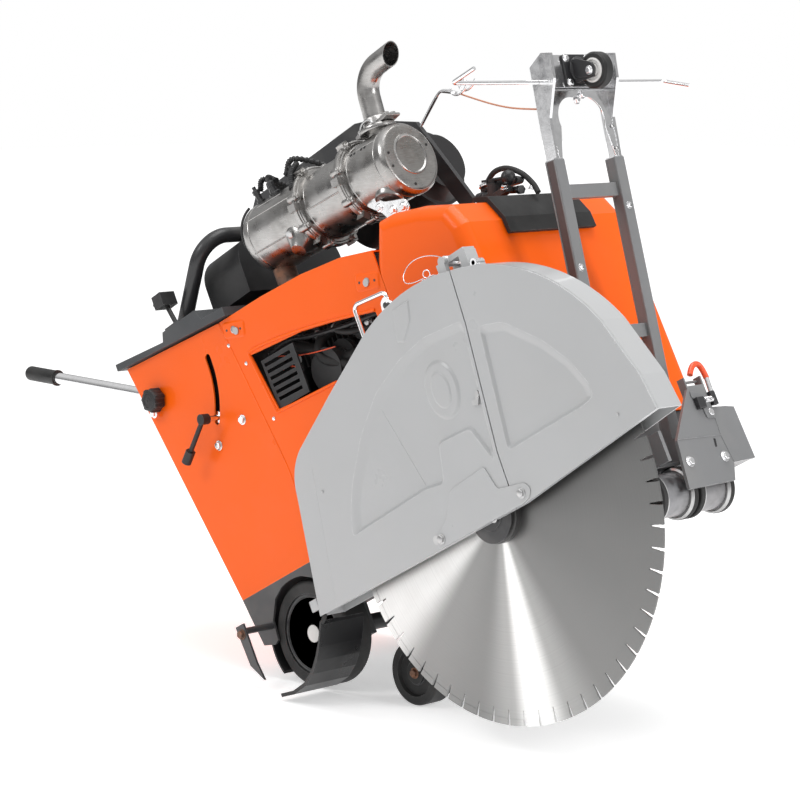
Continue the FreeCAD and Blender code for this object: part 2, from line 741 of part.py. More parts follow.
guard_middle = (guard_outer + guard_inner) / 2
rear_skin = guard_half(rear_guard_loop, low_or_split, "guard_rear")
spindle_slot = block((150, 5, 110), (blade_x - 75, guard_inner - 4, -20), "spindle_slot")
rear_guard_parts = [
    bored(rear_skin, spindle_slot, "guard_rear"),
    bar(5, 60, (hinge_x, guard_middle + 30, hinge_z), (0, -1, 0), "guard_hinge_pin"),
]
for lug_y in (guard_middle + 18, guard_middle - 30):
    rear_guard_parts.append(block((24, 12, 28), (hinge_x - 18, lug_y, 510), "hinge_lug"))
    rear_guard_parts.append(bar(10, 12, (hinge_x, lug_y, hinge_z), (0, 1, 0), "hinge_knuckle"))
rear_guard_parts.append(block((74, 40, 4), (630, guard_middle - 20, 489), "handle_foot"))
keep(weld(rear_guard_parts, "guard_rear"), "guard_rear")
front_skin = guard_half(front_guard_loop, low_or_split, "guard_front")
front_knuckle = bored(
    weld([
        bar(10, 34, (hinge_x, guard_middle - 17, hinge_z), (0, 1, 0), "front_knuckle"),
        block((60, 34, 12), (hinge_x, guard_middle - 17, hinge_z - 6), "front_strap"),
        block((22, 34, 45), (hinge_x + 40, guard_middle - 17, hinge_z - 45), "front_strap_leg"),
    ], "front_hinge"),
    bar("5 + Dims.running_gap", 60, (hinge_x, guard_middle - 30, hinge_z), (0, 1, 0), "front_hinge_bore"),
    "front_hinge")
keep(weld([front_skin, front_knuckle], "guard_front"), "guard_front")

handle_top = [(706, blade_y, 512), (716, blade_y, 566), (607, blade_y, 581), (607, blade_y, 484)]
shaped("guard_handle", tube_shape(handle_top, 5, 14))
keep(side_plate("guard_latch", [[(886, 230), (900, 226), (912, 244), (912, 254), (906, 254), (898, 240),
                                 (886, 240)]], guard_outer - 0.4, 6), "guard_latch")

# mud flap hangs from the rear of the guard to just above the floor; drawn from the row's own floor level
flap_line = [(185, 205), (178, 152), (169, 118), (156, 86), (132, 54), (94, 28), (50, 13)]
half_flap = dim("flap_thickness") / 2
upper = [(x - 2, z + half_flap) for x, z in flap_line]
lower = [(x + 2, z - half_flap) for x, z in reversed(flap_line)]
flap = doc.addObject("PartDesign::Body", "mud_flap")
pad(flap, "XZ_Plane", 268, [upper + lower], 134)
flap.Label = "mud_flap"
flap.Placement = FLOOR
nodes.append(flap)

# ---------------------------------------------------------------- steering handles
rise = radians(180 - dim("handle_rise"))
direction = Vector(cos(rise), 0, sin(rise))
low_angle = dim("clamp_low")
stud = polar(handle_x, handle_z, dim("clamp_reach"), low_angle)
reach = dim("handle_length")
grip = dim("grip_length")
handlebar = [bar(12, 277.9 + 258, (handle_x, -277.9, handle_z), (0, 1, 0), "handle_shaft")]
for side in (-1, 1):
    root = (handle_x, side * handle_side, handle_z)
    tube_span = "Dims.handle_length - 4"
    handlebar.append(bar("Dims.handle_radius", tube_span, root, tuple(direction), "handle_tube"))
clamp_arm = doc.addObject("Part::Box", "clamp_arm")
bind(clamp_arm, "Length", "Dims.clamp_reach + 12")
clamp_arm.Width = 7
clamp_arm.Height = 28
clamp_arm.Placement = Placement(Vector(handle_x, -264, handle_z), Rotation(SIDE, -low_angle)).multiply(
    Placement(Vector(0, 0, -14), Rotation()))
handlebar.append(clamp_arm)
handlebar.append(bar(7, 46, (stud[0], -260, stud[1]), (0, -1, 0), "clamp_stud"))
keep(weld(handlebar, "handlebar"), "handlebar")
tube_bore = dim("handle_radius")


def hand_grip(side, word):
    start = Vector(handle_x, side * handle_side, handle_z) + direction * (reach - grip)
    grip_r = dim("grip_radius")
    profile = [
        (tube_bore, 0), (grip_r + 2, 0), (grip_r + 2, 5), (grip_r, 8), (grip_r, grip - 10),
        (grip_r - 3, grip - 3, grip_r - 10, grip), (0, grip), (0, grip - 4), (tube_bore, grip - 4),
    ]
    turned("grip_" + word, profile, tuple(start), tuple(direction))


mirrored_pair(hand_grip)

turned("height_knob", [
    (12.05, 0), (18, 0), (18, 6), (24, 9), (26, 14), (26, 26), (22, 31, 12, 34), (0, 34), (0, 8), (12.05, 8),
], (handle_x, -270.4, handle_z), (0, -1, 0))

lever_end = Vector(-94, 0, -59)
clamp_lever = weld([
    bar(13, 22, (stud[0], -300, stud[1]), (0, -1, 0), "clamp_hub"),
    bar(6, lever_end.Length, (stud[0], -314, stud[1]), tuple(lever_end), "clamp_rod"),
    bar(12, 34, (stud[0] + lever_end.x * 0.86, -314, stud[1] + lever_end.z * 0.86), tuple(lever_end),
        "clamp_grip"),
], "clamp_lever")
keep(bored(clamp_lever, bar(7.05, 8, (stud[0], -299, stud[1]), (0, -1, 0), "clamp_bore"), "clamp_lever"),
     "clamp_lever")

# ---------------------------------------------------------------- rear pointer
keep(side_plate("rear_pointer", [
    [(-132, 78), (-102, 78), (-100, -20), (-92, -66), (-124, -20)],
    ("circle", pointer_rod[0], pointer_rod[1], "5 + Dims.running_gap"),
], -360.4, 6), "rear_pointer")

# ---------------------------------------------------------------- nose bracket and roller
ladder_x = dim("ladder_pivot_forward")
ladder_z = dim("ladder_pivot_up")
roller_x = 983
roller_z = -56
latch_x = 1040
latch_z = 170
latch_side = 65
latch_wide = 50
nose_plate = doc.addObject("PartDesign::Body", "nose_plate")
pad(nose_plate, "YZ_Plane", 1046, [[
    (-50, -68), (104, -66), (122, -26), (196, -24), (190, 98), (160, 102), (116, 104), (116, 158), (66, 158),
    (-32, 42),
]], 8)
nose_parts = [
    nose_plate,
    block((8, 236, 190), (892.4, -118, -40), "nose_back"),
    block((148, 10, 68), (899, -74, 2), "nose_cheek"),
    block((148, 10, 68), (899, 64, 2), "nose_cheek"),
    block((60, 62, 8), (988, 126, -24), "nose_wing_floor"),
    block((60, 8, 120), (988, 124, -24), "nose_wing_side"),
    bar(9, 2 * 120, (ladder_x, -120, ladder_z), (0, 1, 0), "ladder_pin"),
    bar(10, 2 * 122, (roller_x, -122, roller_z), (0, 1, 0), "roller_pin"),
    block((30, 8, 76), (roller_x - 15, -4, roller_z - 16), "roller_hanger"),
    block((30, 138, 8), (roller_x - 15, -69, 2), "roller_hanger_top"),
    block((20, 4, 83), (latch_x - 6, latch_side - 4.5, 95), "latch_lug"),
    block((20, 4, 83), (latch_x - 6, latch_side + latch_wide + 0.5, 95), "latch_lug"),
    bar(3, latch_wide + 8, (latch_x, latch_side - 4, latch_z), (0, 1, 0), "latch_pin"),
]
keep(weld(nose_parts, "nose_bracket"), "nose_bracket")


def roller(side, word):
    wide = 112
    profile = [
        (10.05, 0), (52, 0), (56, 4), (56, 16), (52, 20), (46, 20), (46, wide - 20), (52, wide - 20),
        (56, wide - 16), (56, wide - 4), (52, wide), (10.05, wide),
    ]
    turned("nose_roller_" + word, profile, (roller_x, side * 5, roller_z), (0, side, 0))


mirrored_pair(roller)

nose_lever = weld([
    bar(7, latch_wide, (latch_x, latch_side, latch_z), (0, 1, 0), "latch_pivot"),
    block((10, 26, 46), (latch_x - 5, latch_side + 10, latch_z), "latch_tab"),
], "nose_lever")
latch_bore = bar("3 + Dims.running_gap", latch_wide + 10, (latch_x, latch_side - 5, latch_z), (0, 1, 0),
                 "latch_bore")
keep(bored(nose_lever, latch_bore, "nose_lever"), "nose_latch")

# ---------------------------------------------------------------- front pointer frame, leaning forward
lean = Rotation(SIDE, dim("ladder_lean"))
ladder_place = Placement(Vector(ladder_x, 0, ladder_z), lean)
half_bar = dim("ladder_bar") / 2
ladder_half = dim("ladder_half")
ladder_parts = []
for low_y in (-ladder_half, ladder_half - 2 * half_bar):
    rail = doc.addObject("Part::Box", "ladder_rail")
    bind(rail, "Length", "Dims.ladder_bar")
    bind(rail, "Width", "Dims.ladder_bar")
    bind(rail, "Height", "Dims.ladder_height + 20")
    rail.Placement = Placement(Vector(-half_bar, low_y, -20), Rotation())
    ladder_parts.append(rail)
for level in (282, 600):
    rung = doc.addObject("Part::Box", "ladder_rung")
    rung.Length = 20
    bind(rung, "Width", "2 * Dims.ladder_half - 2 * Dims.ladder_bar")
    bind(rung, "Height", "Dims.ladder_bar")
    rung.Placement = Placement(Vector(-half_bar, -ladder_half + 2 * half_bar, level - half_bar), Rotation())
    ladder_parts.append(rung)
pin_bore = bar(9.05, 2 * 130, (0, -130, 0), (0, 1, 0), "ladder_bore")
keep(bored(weld(ladder_parts, "pointer_frame"), pin_bore, "pointer_frame"), "pointer_frame", ladder_place)

rod_level = 843
rod_forward = 6
head_outline = [(-15, 671), (15, 671), (18, 760), (52, 840), (56, 895), (30, 902), (-10, 880), (-15, 740)]
rod_hole = ("circle", rod_forward, rod_level, "Dims.cross_rod_radius + 0.3")
head_high = ladder_half - 6
head_parts = [
    side_plate("head_plate_left", [head_outline, rod_hole], head_high, 8),
    side_plate("head_plate_right", [head_outline, rod_hole], -head_high + 8, 8),
    block((8, 2 * head_high - 16, 72), (20, -head_high + 8, 826), "head_bridge"),
]
for low_y in (-ladder_half, ladder_half - 2 * half_bar):
    head_parts.append(block((26, 30, 3), (-13, low_y, 670), "head_foot"))
keep(weld(head_parts, "pointer_head"), "pointer_head", ladder_place)

rod_y = 310
rod_points = [
    (rod_forward + 71, blade_y, rod_level + 12), (rod_forward, blade_y, rod_level),
    (rod_forward, rod_y, rod_level), (rod_forward + 73, rod_y, rod_level - 31),
]
shaped("cross_rod", tube_shape(rod_points, dim("cross_rod_radius"), 12), ladder_place)

caster_x = 28.4
caster_z = 862
caster_r = dim("caster_radius")
caster_half = dim("caster_width") / 2
fork_parts = [
    bar(24, 8, (caster_x, 0, caster_z), (1, 0, 0), "caster_race"),
    block((6, 2 * caster_half + 16, 50), (caster_x + 8, -caster_half - 8, caster_z - 30), "caster_crown"),
    bar(6, 2 * caster_half + 16, (caster_x + 56, -caster_half - 8, caster_z - 14), (0, 1, 0), "caster_axle"),
]
for low_y in (-caster_half - 8, caster_half + 4):
    fork_parts.append(block((52, 4, 32), (caster_x + 12, low_y, caster_z - 30), "caster_cheek"))
keep(weld(fork_parts, "caster_fork"), "caster_fork", ladder_place)
wheel_centre = ladder_place.multVec(Vector(caster_x + 56, 0, caster_z - 14))
turned("caster_wheel", [
    (6.05, -caster_half), (16, -caster_half), (16, -9), (28, -9), (28, -caster_half),
    (caster_r - 4, -caster_half), (caster_r, -caster_half + 4), (caster_r, caster_half - 4),
    (caster_r - 4, caster_half), (28, caster_half), (28, 9), (16, 9), (16, caster_half), (6.05, caster_half),
], tuple(wheel_centre), (0, 1, 0))

cord_points = [
    (792, -2, 1004), (862, -24, 950), (930, -48, 902), (1000, -76, 859), (1072, -101, 821.5),
]
shaped("tether_cord", tube_shape(cord_points, 2, 60))

# ---------------------------------------------------------------- bolts on the panels and the guard
bolts = []
for bolt_x, bolt_z in ((22, 538), (-89, 516), (107, 733), (573, 646)):
    bolts.append(bar(9, 6, (bolt_x, -body_half - 0.1, bolt_z), (0, -1, 0), "panel_bolt"))
for bolt_x, bolt_z in ((650, 16), (880, 14)):
    bolts.append(bar(10, 7, (bolt_x, guard_outer - 0.1, bolt_z), (0, -1, 0), "guard_bolt"))
keep(weld(bolts, "panel_bolts"), "panel_bolts")

# ---------------------------------------------------------------- check and write
doc.recompute()
for obj in doc.Objects:
    if "Invalid" in obj.State or "Error" in obj.State:
        raise RuntimeError(f"{obj.Label} failed: {obj.State}")
os.makedirs("parts", exist_ok=True)
for old in os.listdir("parts"):
    os.remove(os.path.join("parts", old))
for node in nodes:
    shape = node.Shape
    if shape.isNull() or not shape.isValid() or shape.Volume <= 0:
        raise RuntimeError(f"{node.Label} has no valid shape")
    shape.exportStep(f"parts/{node.Label}.step")
print(len(nodes), "sub-parts written")
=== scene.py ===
import json
from math import atan2, cos, hypot, pi, radians, sin

import bpy
from mathutils import Matrix, Vector
from mathutils.geometry import tessellate_polygon


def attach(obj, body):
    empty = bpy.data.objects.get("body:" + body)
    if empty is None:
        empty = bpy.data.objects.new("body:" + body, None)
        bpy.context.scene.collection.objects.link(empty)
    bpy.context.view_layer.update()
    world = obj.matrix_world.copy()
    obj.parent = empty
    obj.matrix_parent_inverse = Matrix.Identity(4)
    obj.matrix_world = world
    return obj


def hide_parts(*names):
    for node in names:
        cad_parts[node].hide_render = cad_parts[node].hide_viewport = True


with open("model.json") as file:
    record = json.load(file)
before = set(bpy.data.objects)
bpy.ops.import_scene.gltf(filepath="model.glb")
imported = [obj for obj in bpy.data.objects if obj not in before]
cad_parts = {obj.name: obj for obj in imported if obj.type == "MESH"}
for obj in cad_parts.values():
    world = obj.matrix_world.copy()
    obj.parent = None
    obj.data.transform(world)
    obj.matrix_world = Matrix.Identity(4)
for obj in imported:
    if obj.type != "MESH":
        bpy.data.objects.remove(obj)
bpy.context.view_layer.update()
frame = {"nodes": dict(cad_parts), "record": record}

MM = 0.001

# The chassis frame (rear axle at the origin, X forward, Z up from the deck) inside the row frame.
TILT_ANGLE = radians(28.1)
REAR_WHEEL_RADIUS = 127 * MM
ROW_SHIFT = Vector((-18.4 * MM, 26.05 * MM, 0))
TILT = Matrix.Translation(ROW_SHIFT + Vector((0, 0, REAR_WHEEL_RADIUS))) @ Matrix.Rotation(-TILT_ANGLE, 4,
    "Y")
LEAN_ANGLE = radians(12)
LADDER_FOOT = Vector((926, 0, 45))
LADDER = TILT @ Matrix.Translation(LADDER_FOOT * MM) @ Matrix.Rotation(LEAN_ANGLE, 4, "Y")


# -------------------- materials
class Shader:
    """A principled material with a few procedural layers added one by one."""

    def __init__(self, name, color, rough, metal=0.0, coat=0.0, coat_rough=0.08, specular=0.5):
        self.mat = bpy.data.materials.new(name)
        self.mat.use_nodes = True
        self.tree = self.mat.node_tree
        self.bsdf = self.tree.nodes["Principled BSDF"]
        self.bsdf.inputs["Base Color"].default_value = (*color, 1)
        self.bsdf.inputs["Roughness"].default_value = rough
        self.bsdf.inputs["Metallic"].default_value = metal
        self.bsdf.inputs["Coat Weight"].default_value = coat
        self.bsdf.inputs["Coat Roughness"].default_value = coat_rough
        self.bsdf.inputs["Specular IOR Level"].default_value = specular
        self.color = color
        self.rough = rough
        self.coords = self.node("ShaderNodeTexCoord").outputs["Object"]
        self.color_out = None
        self.height = None

    def node(self, kind, **values):
        made = self.tree.nodes.new(kind)
        for key, value in values.items():
            if key in made.inputs:
                made.inputs[key].default_value = value
            else:
                setattr(made, key, value)
        return made

    def link(self, a, b):
        self.tree.links.new(a, b)

    def noise(self, scale, detail=5.0, stretch=(1, 1, 1)):
        mapping = self.node("ShaderNodeMapping")
        mapping.inputs["Scale"].default_value = stretch
        self.link(self.coords, mapping.inputs["Vector"])
        tex = self.node("ShaderNodeTexNoise", Scale=scale, Detail=detail)
        self.link(mapping.outputs["Vector"], tex.inputs["Vector"])
        return tex.outputs["Fac"]

    def ramp(self, fac, low, high):
        remap = self.node("ShaderNodeMapRange")
        remap.inputs["From Min"].default_value = low
        remap.inputs["From Max"].default_value = high
        self.link(fac, remap.inputs["Value"])
        return remap.outputs["Result"]

    def tint(self, fac, color, amount=1.0):
        """Mixes a colour over what is there, where fac is high."""
        mix = self.node("ShaderNodeMix", data_type="RGBA")
        scaled = self.node("ShaderNodeMath", operation="MULTIPLY")
        self.link(fac, scaled.inputs[0])
        scaled.inputs[1].default_value = amount
        self.link(scaled.outputs[0], mix.inputs["Factor"])
        if self.color_out:
            self.link(self.color_out, mix.inputs["A"])
        else:
            mix.inputs["A"].default_value = (*self.color, 1)
        mix.inputs["B"].default_value = (*color, 1)
        self.color_out = mix.outputs["Result"]
        self.link(self.color_out, self.bsdf.inputs["Base Color"])
        return self

    def vary_rough(self, fac, low, high):
        remap = self.node("ShaderNodeMapRange")
        remap.inputs["From Min"].default_value = 0.3
        remap.inputs["From Max"].default_value = 0.7
        remap.inputs["To Min"].default_value = low
        remap.inputs["To Max"].default_value = high
        self.link(fac, remap.inputs["Value"])
        self.link(remap.outputs["Result"], self.bsdf.inputs["Roughness"])
        return self

    def bump(self, fac, strength, distance):
        bump = self.node("ShaderNodeBump", Strength=strength, Distance=distance)
        self.link(fac, bump.inputs["Height"])
        if self.height:
            self.link(self.height, bump.inputs["Normal"])
        self.height = bump.outputs["Normal"]
        self.link(self.height, self.bsdf.inputs["Normal"])
        return self

    def edge_wear_and_highlight(self, color, amount, radius=0.0025):
        """Lighter or bare colour along sharp edges: partly wear, partly a painted highlight where edges catch
        the light.
        """
        bevel = self.node("ShaderNodeBevel", Radius=radius)
        bevel.samples = 4
        geometry = self.node("ShaderNodeNewGeometry")
        dot = self.node("ShaderNodeVectorMath", operation="DOT_PRODUCT")
        self.link(bevel.outputs["Normal"], dot.inputs[0])
        self.link(geometry.outputs["Normal"], dot.inputs[1])
        edge = self.ramp(dot.outputs["Value"], 0.985, 0.88)
        worn_and_lit_edges = self.node("ShaderNodeMath", operation="MULTIPLY")
        self.link(edge, worn_and_lit_edges.inputs[0])
        self.link(self.ramp(self.noise(60, 4), 0.35, 0.6), worn_and_lit_edges.inputs[1])
        return self.tint(worn_and_lit_edges.outputs[0], color, amount)


def painted(name, color, rough, coat, edge, dust=(0.5, 0.47, 0.42), dust_amount=0.10, specular=0.5):
    shade = Shader(name, color, rough, coat=coat, specular=specular)
    shade.tint(shade.ramp(shade.noise(2.2, 3), 0.35, 0.75), tuple(c * 0.86 for c in color), 0.5)
    shade.tint(shade.ramp(shade.noise(9, 8), 0.52, 0.8), dust, dust_amount)
    shade.vary_rough(shade.noise(6, 6), rough * 0.8, rough * 1.35)
    shade.bump(shade.noise(420, 2), 0.03, 0.0004)
    # sharp edges take the edge colour: wear, and a painted highlight where edges catch the light
    shade.edge_wear_and_highlight(edge, 0.55)
    return shade.mat


def bare_metal(name, color, rough, grain=(1, 1, 1), stain=(0.2, 0.18, 0.16), stain_amount=0.3, scale=90):
    shade = Shader(name, color, rough, metal=1.0)
    shade.tint(shade.ramp(shade.noise(5, 8), 0.5, 0.78), stain, stain_amount)
    shade.tint(shade.ramp(shade.noise(scale, 5, grain), 0.35, 0.7), tuple(c * 0.82 for c in color), 0.5)
    shade.vary_rough(shade.noise(scale * 0.6, 5, grain), rough * 0.7, rough * 1.4)
    shade.bump(shade.noise(scale * 2, 4, grain), 0.06, 0.0005)
    return shade.mat


def moulded(name, color, rough, texture=0.12, scale=700):
    shade = Shader(name, color, rough, specular=0.45)
    shade.tint(shade.ramp(shade.noise(7, 7), 0.5, 0.8), (0.16, 0.155, 0.15), 0.22)
    shade.vary_rough(shade.noise(12, 6), rough * 0.8, min(rough * 1.25, 0.95))
    shade.bump(shade.noise(scale, 3), texture, 0.0005)
    # sharp edges turn lighter: wear, and a painted highlight where edges catch the light
    shade.edge_wear_and_highlight((0.22, 0.22, 0.22), 0.35)
    return shade.mat


ORANGE = (0.95, 0.122, 0.003)
# each painted() edge colour is lighter than its paint: edge wear and a painted edge highlight
M = {"orange_paint": painted("orange_paint", ORANGE, 0.33, 0.12, (1.0, 0.30, 0.06), dust_amount=0.015,
    specular=0.2), "guard_paint": painted("guard_paint", (0.44, 0.445, 0.45), 0.34, 0.25, (0.72, 0.72, 0.72),
    dust_amount=0.08), "dark_paint": painted("dark_paint", (0.022, 0.022, 0.024), 0.38, 0.2,
    (0.16, 0.16, 0.16), dust_amount=0.12), "frame_grey": painted("frame_grey", (0.19, 0.192, 0.196), 0.42,
    0.15, (0.36, 0.36, 0.36)), "bare_steel": bare_metal("bare_steel", (0.55, 0.55, 0.55), 0.34),
    "chrome": bare_metal("chrome", (0.93, 0.93, 0.94), 0.17, stain_amount=0.06),
    "black_plastic": moulded("black_plastic", (0.014, 0.014, 0.015), 0.45),
    "console_plastic": moulded("console_plastic", (0.055, 0.058, 0.062), 0.55),
    "rubber": moulded("rubber", (0.016, 0.016, 0.016), 0.68, 0.2, 420),
    "tyre": moulded("tyre", (0.014, 0.014, 0.014), 0.6, 0.25, 300), "grip_rubber": moulded("grip_rubber",
    (0.012, 0.012, 0.012), 0.5, 0.3, 260), "engine_alloy": moulded("engine_alloy", (0.035, 0.035, 0.036),
    0.55, 0.6, 160), "cord_fibre": moulded("cord_fibre", (0.55, 0.25, 0.15), 0.7, 0.5, 900),
    "skirt_grey": painted("skirt_grey", (0.060, 0.061, 0.063), 0.42, 0.1, (0.2, 0.2, 0.2)),
    "channel_shade": painted("channel_shade", (0.085, 0.062, 0.060), 0.5, 0.05, (0.2, 0.19, 0.18)),
    "pale_plastic": moulded("pale_plastic", (0.75, 0.74, 0.72), 0.4),
    "roller_steel": bare_metal("roller_steel", (0.30, 0.30, 0.31), 0.42),
    "flap_rubber": moulded("flap_rubber", (0.012, 0.012, 0.013), 0.30, 0.10, 40),
    "red_plastic": moulded("red_plastic", (0.85, 0.10, 0.03), 0.35),}


def stainless():
    """Stainless canister: long rolling marks, heat tint and soft dirt."""
    shade = Shader("stainless", (0.42, 0.41, 0.40), 0.24, metal=1.0)
    shade.tint(shade.ramp(shade.noise(4.5, 7), 0.48, 0.75), (0.20, 0.185, 0.165), 0.7)
    shade.tint(shade.ramp(shade.noise(14, 8), 0.56, 0.74), (0.10, 0.095, 0.09), 0.55)
    shade.tint(shade.ramp(shade.noise(60, 4, (1, 1, 9)), 0.42, 0.66), (0.62, 0.62, 0.61), 0.25)
    shade.vary_rough(shade.noise(25, 7), 0.16, 0.44)
    shade.bump(shade.noise(38, 4), 0.10, 0.0012)
    shade.bump(shade.noise(300, 3), 0.05, 0.0004)
    return shade.mat


def rust():
    shade = Shader("burnt_steel", (0.20, 0.13, 0.10), 0.55, metal=0.7)
    shade.tint(shade.ramp(shade.noise(22, 8), 0.42, 0.66), (0.36, 0.15, 0.07), 0.7)
    shade.tint(shade.ramp(shade.noise(70, 6), 0.5, 0.7), (0.05, 0.045, 0.04), 0.6)
    shade.bump(shade.noise(160, 6), 0.3, 0.0008)
    return shade.mat


def blade_steel():
    """Ground steel disc: rings of grinding marks, and reflections painted into the colour as bright streaks
    that fan out from the arbor.
    """
    shade = Shader("blade_steel", (0.60, 0.60, 0.59), 0.36, metal=1.0)
    texture = shade.node("ShaderNodeTexCoord")
    centred = shade.node("ShaderNodeVectorMath", operation="SUBTRACT")
    shade.link(texture.outputs["Generated"], centred.inputs[0])
    centred.inputs[1].default_value = (0.5, 0.5, 0.5)
    split = shade.node("ShaderNodeSeparateXYZ")
    shade.link(centred.outputs[0], split.inputs[0])
    flat = shade.node("ShaderNodeCombineXYZ")
    shade.link(split.outputs["X"], flat.inputs["X"])
    shade.link(split.outputs["Z"], flat.inputs["Y"])
    length = shade.node("ShaderNodeVectorMath", operation="LENGTH")
    shade.link(flat.outputs[0], length.inputs[0])
    rings = shade.node("ShaderNodeTexNoise", noise_dimensions="1D", Scale=260.0, Detail=6.0)
    shade.link(length.outputs["Value"], rings.inputs["W"])
    angle = shade.node("ShaderNodeMath", operation="ARCTAN2")
    shade.link(split.outputs["Z"], angle.inputs[0])
    shade.link(split.outputs["X"], angle.inputs[1])
    turn = shade.node("ShaderNodeMapRange")
    turn.inputs["From Min"].default_value = -pi
    turn.inputs["From Max"].default_value = pi
    shade.link(angle.outputs[0], turn.inputs["Value"])
    # painted reflection: the colour's brightness is set by angle round the arbor, with bright streaks where
    # the reflections fall
    painted_reflection_fan = shade.node("ShaderNodeValToRGB")
    painted_reflection_fan.color_ramp.interpolation = "EASE"
    painted_reflection_stops = [(-180, 0.28), (-160, 0.28), (-144, 0.80), (-137, 0.80), (-122, 0.30), (-98, 0.26), (-84, 0.42),
             (-77, 1.0), (-71, 1.0), (-62, 0.40), (-46, 0.24), (-5, 0.20), (25, 0.16), (60, 0.3), (106, 0.8),
             (180, 0.28)]
    for number, (degrees_round, level) in enumerate(painted_reflection_stops):
        position = (degrees_round + 180) / 360
        if number < 2:
            stop = painted_reflection_fan.color_ramp.elements[number]
            stop.position = position
        else:
            stop = painted_reflection_fan.color_ramp.elements.new(position)
        stop.color = (level, level, level * 0.985, 1)
    shade.link(turn.outputs["Result"], painted_reflection_fan.inputs["Fac"])
    shade.color_out = painted_reflection_fan.outputs["Color"]
    shade.tint(shade.ramp(rings.outputs["Fac"], 0.35, 0.7), (0.30, 0.30, 0.30), 0.10)
    shade.tint(shade.ramp(shade.noise(7, 7), 0.5, 0.8), (0.26, 0.25, 0.24), 0.15)
    shade.vary_rough(rings.outputs["Fac"], 0.38, 0.46)
    shade.bump(rings.outputs["Fac"], 0.04, 0.0003)
    shade.bsdf.inputs["Anisotropic"].default_value = 0.12
    tangent = shade.node("ShaderNodeTangent", direction_type="RADIAL", axis="Y")
    shade.link(tangent.outputs[0], shade.bsdf.inputs["Tangent"])
    return shade.mat


M["stainless"] = stainless()
M["burnt_steel"] = rust()
M["blade_steel"] = blade_steel()
# plain black, for the arch liners, the tailpipe soot, and dark pieces that paint the shade inside holes,
# slots and the body
M["black_and_painted_shade"] = moulded("black_and_painted_shade", (0.010, 0.010, 0.011), 0.5, 0.5, 120)


def finish_piece(obj, body, material, bevel=0.0, smooth=True, place=TILT):
    bpy.context.scene.collection.objects.link(obj)
    obj.matrix_world = place
    obj.data.materials.append(M[material])
    if bevel:
        mod = obj.modifiers.new("edges", "BEVEL")
        mod.width = bevel * MM
        mod.segments = 3
        mod.limit_method = "ANGLE"
        mod.angle_limit = radians(35)
        mod.harden_normals = True
    if smooth and obj.type == "MESH":
        for poly in obj.data.polygons:
            poly.use_smooth = True
        if not bevel:
            obj.data.set_sharp_from_angle(angle=radians(38))
    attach(obj, body)
    return obj


def mesh_object(name, verts, faces):
    mesh = bpy.data.meshes.new(name)
    mesh.from_pydata([Vector(v) * MM for v in verts], [], faces)
    mesh.validate()
    mesh.update()
    return bpy.data.objects.new(name, mesh)


def piece(name, shape, body, material, **look):
    """A finished piece from the vertices and faces of a shape."""
    return finish_piece(mesh_object(name, *shape), body, material, **look)


def basis(axis):
    """Two directions square to axis."""
    axis = Vector(axis).normalized()
    helper = Vector((0, 0, 1)) if abs(axis.z) < 0.9 else Vector((1, 0, 0))
    first = axis.cross(helper).normalized()
    return axis, first, axis.cross(first)


def lathe(profile, centre, axis, steps=48):
    """Vertices and faces of a profile (radius, height) turned about axis through centre."""
    axis, side, up = basis(axis)
    centre = Vector(centre)
    verts = []
    faces = []
    for radius, height in profile:
        for step in range(steps):
            angle = 2 * pi * step / steps
            verts.append(centre + axis * height + (side * cos(angle) + up * sin(angle)) * radius)
    for row in range(len(profile) - 1):
        for step in range(steps):
            a = row * steps + step
            b = row * steps + (step + 1) % steps
            faces.append((a, b, b + steps, a + steps))
    if profile[0][0] > 1e-6:
        faces.append(tuple(reversed(range(steps))))
    last = (len(profile) - 1) * steps
    if profile[-1][0] > 1e-6:
        faces.append(tuple(range(last, last + steps)))
    return verts, faces


def join(parts):
    verts = []
    faces = []
    for part_verts, part_faces in parts:
        base = len(verts)
        verts += list(part_verts)
        faces += [tuple(i + base for i in face) for face in part_faces]
    return verts, faces


def turned_piece(name, profile, centre, axis, body, material, steps=48, bevel=0.0, place=TILT):
    return piece(name, lathe(profile, centre, axis, steps), body, material,
                        bevel=bevel, place=place)


def slab(outline, start, depth, plane="XZ"):
    """Prism of an outline. XZ outlines run from Y = start, YZ outlines from X = start."""
    def lift(point, level):
        return (point[0], level, point[1]) if plane == "XZ" else (level, point[0], point[1])
    count = len(outline)
    verts = [lift(p, start) for p in outline] + [lift(p, start + depth) for p in outline]
    faces = [tuple(range(count)), tuple(reversed(range(count, 2 * count)))]
    for i in range(count):
        j = (i + 1) % count
        faces.append((i, i + count, j + count, j))
    return verts, faces


def box_part(low, high):
    x0, y0, z0 = low
    x1, y1, z1 = high
    return slab([(x0, z0), (x1, z0), (x1, z1), (x0, z1)], y0, y1 - y0)


def bolt(centre, axis, size=8.0, length=6.0, washer=True):
    """Hexagon head with a domed edge, over a washer."""
    parts = []
    if washer:
        parts.append(lathe([(size * 1.45, 0), (size * 1.45, 1.6), (size * 0.8, 1.9)], centre, axis, 24))
    head = [(size * 1.08, 1.5), (size * 1.08, length * 0.85), (size * 0.86, length), (0.001, length)]
    parts.append(lathe(head, centre, axis, 6))
    return join(parts)


def bolts_piece(name, places, body, material="bare_steel", place=TILT):
    parts = [bolt(*spot) for spot in places]
    return piece(name, join(parts), body, material, bevel=0.5, place=place)


def smooth_curve(name, points, radius, body, material, cyclic=False, place=TILT, order=4):
    """Round wire, hose or tube that runs smoothly along its points."""
    curve = bpy.data.curves.new(name, "CURVE")
    curve.dimensions = "3D"
    spline = curve.splines.new("NURBS")
    spline.points.add(len(points) - 1)
    for target, point in zip(spline.points, points):
        target.co = (*(Vector(point) * MM), 1)
    spline.order_u = order
    spline.use_endpoint_u = not cyclic
    spline.use_cyclic_u = cyclic
    spline.resolution_u = 10
    curve.bevel_depth = radius * MM
    curve.bevel_resolution = 5
    curve.use_fill_caps = True
    return finish_piece(bpy.data.objects.new(name, curve), body, material, place=place)


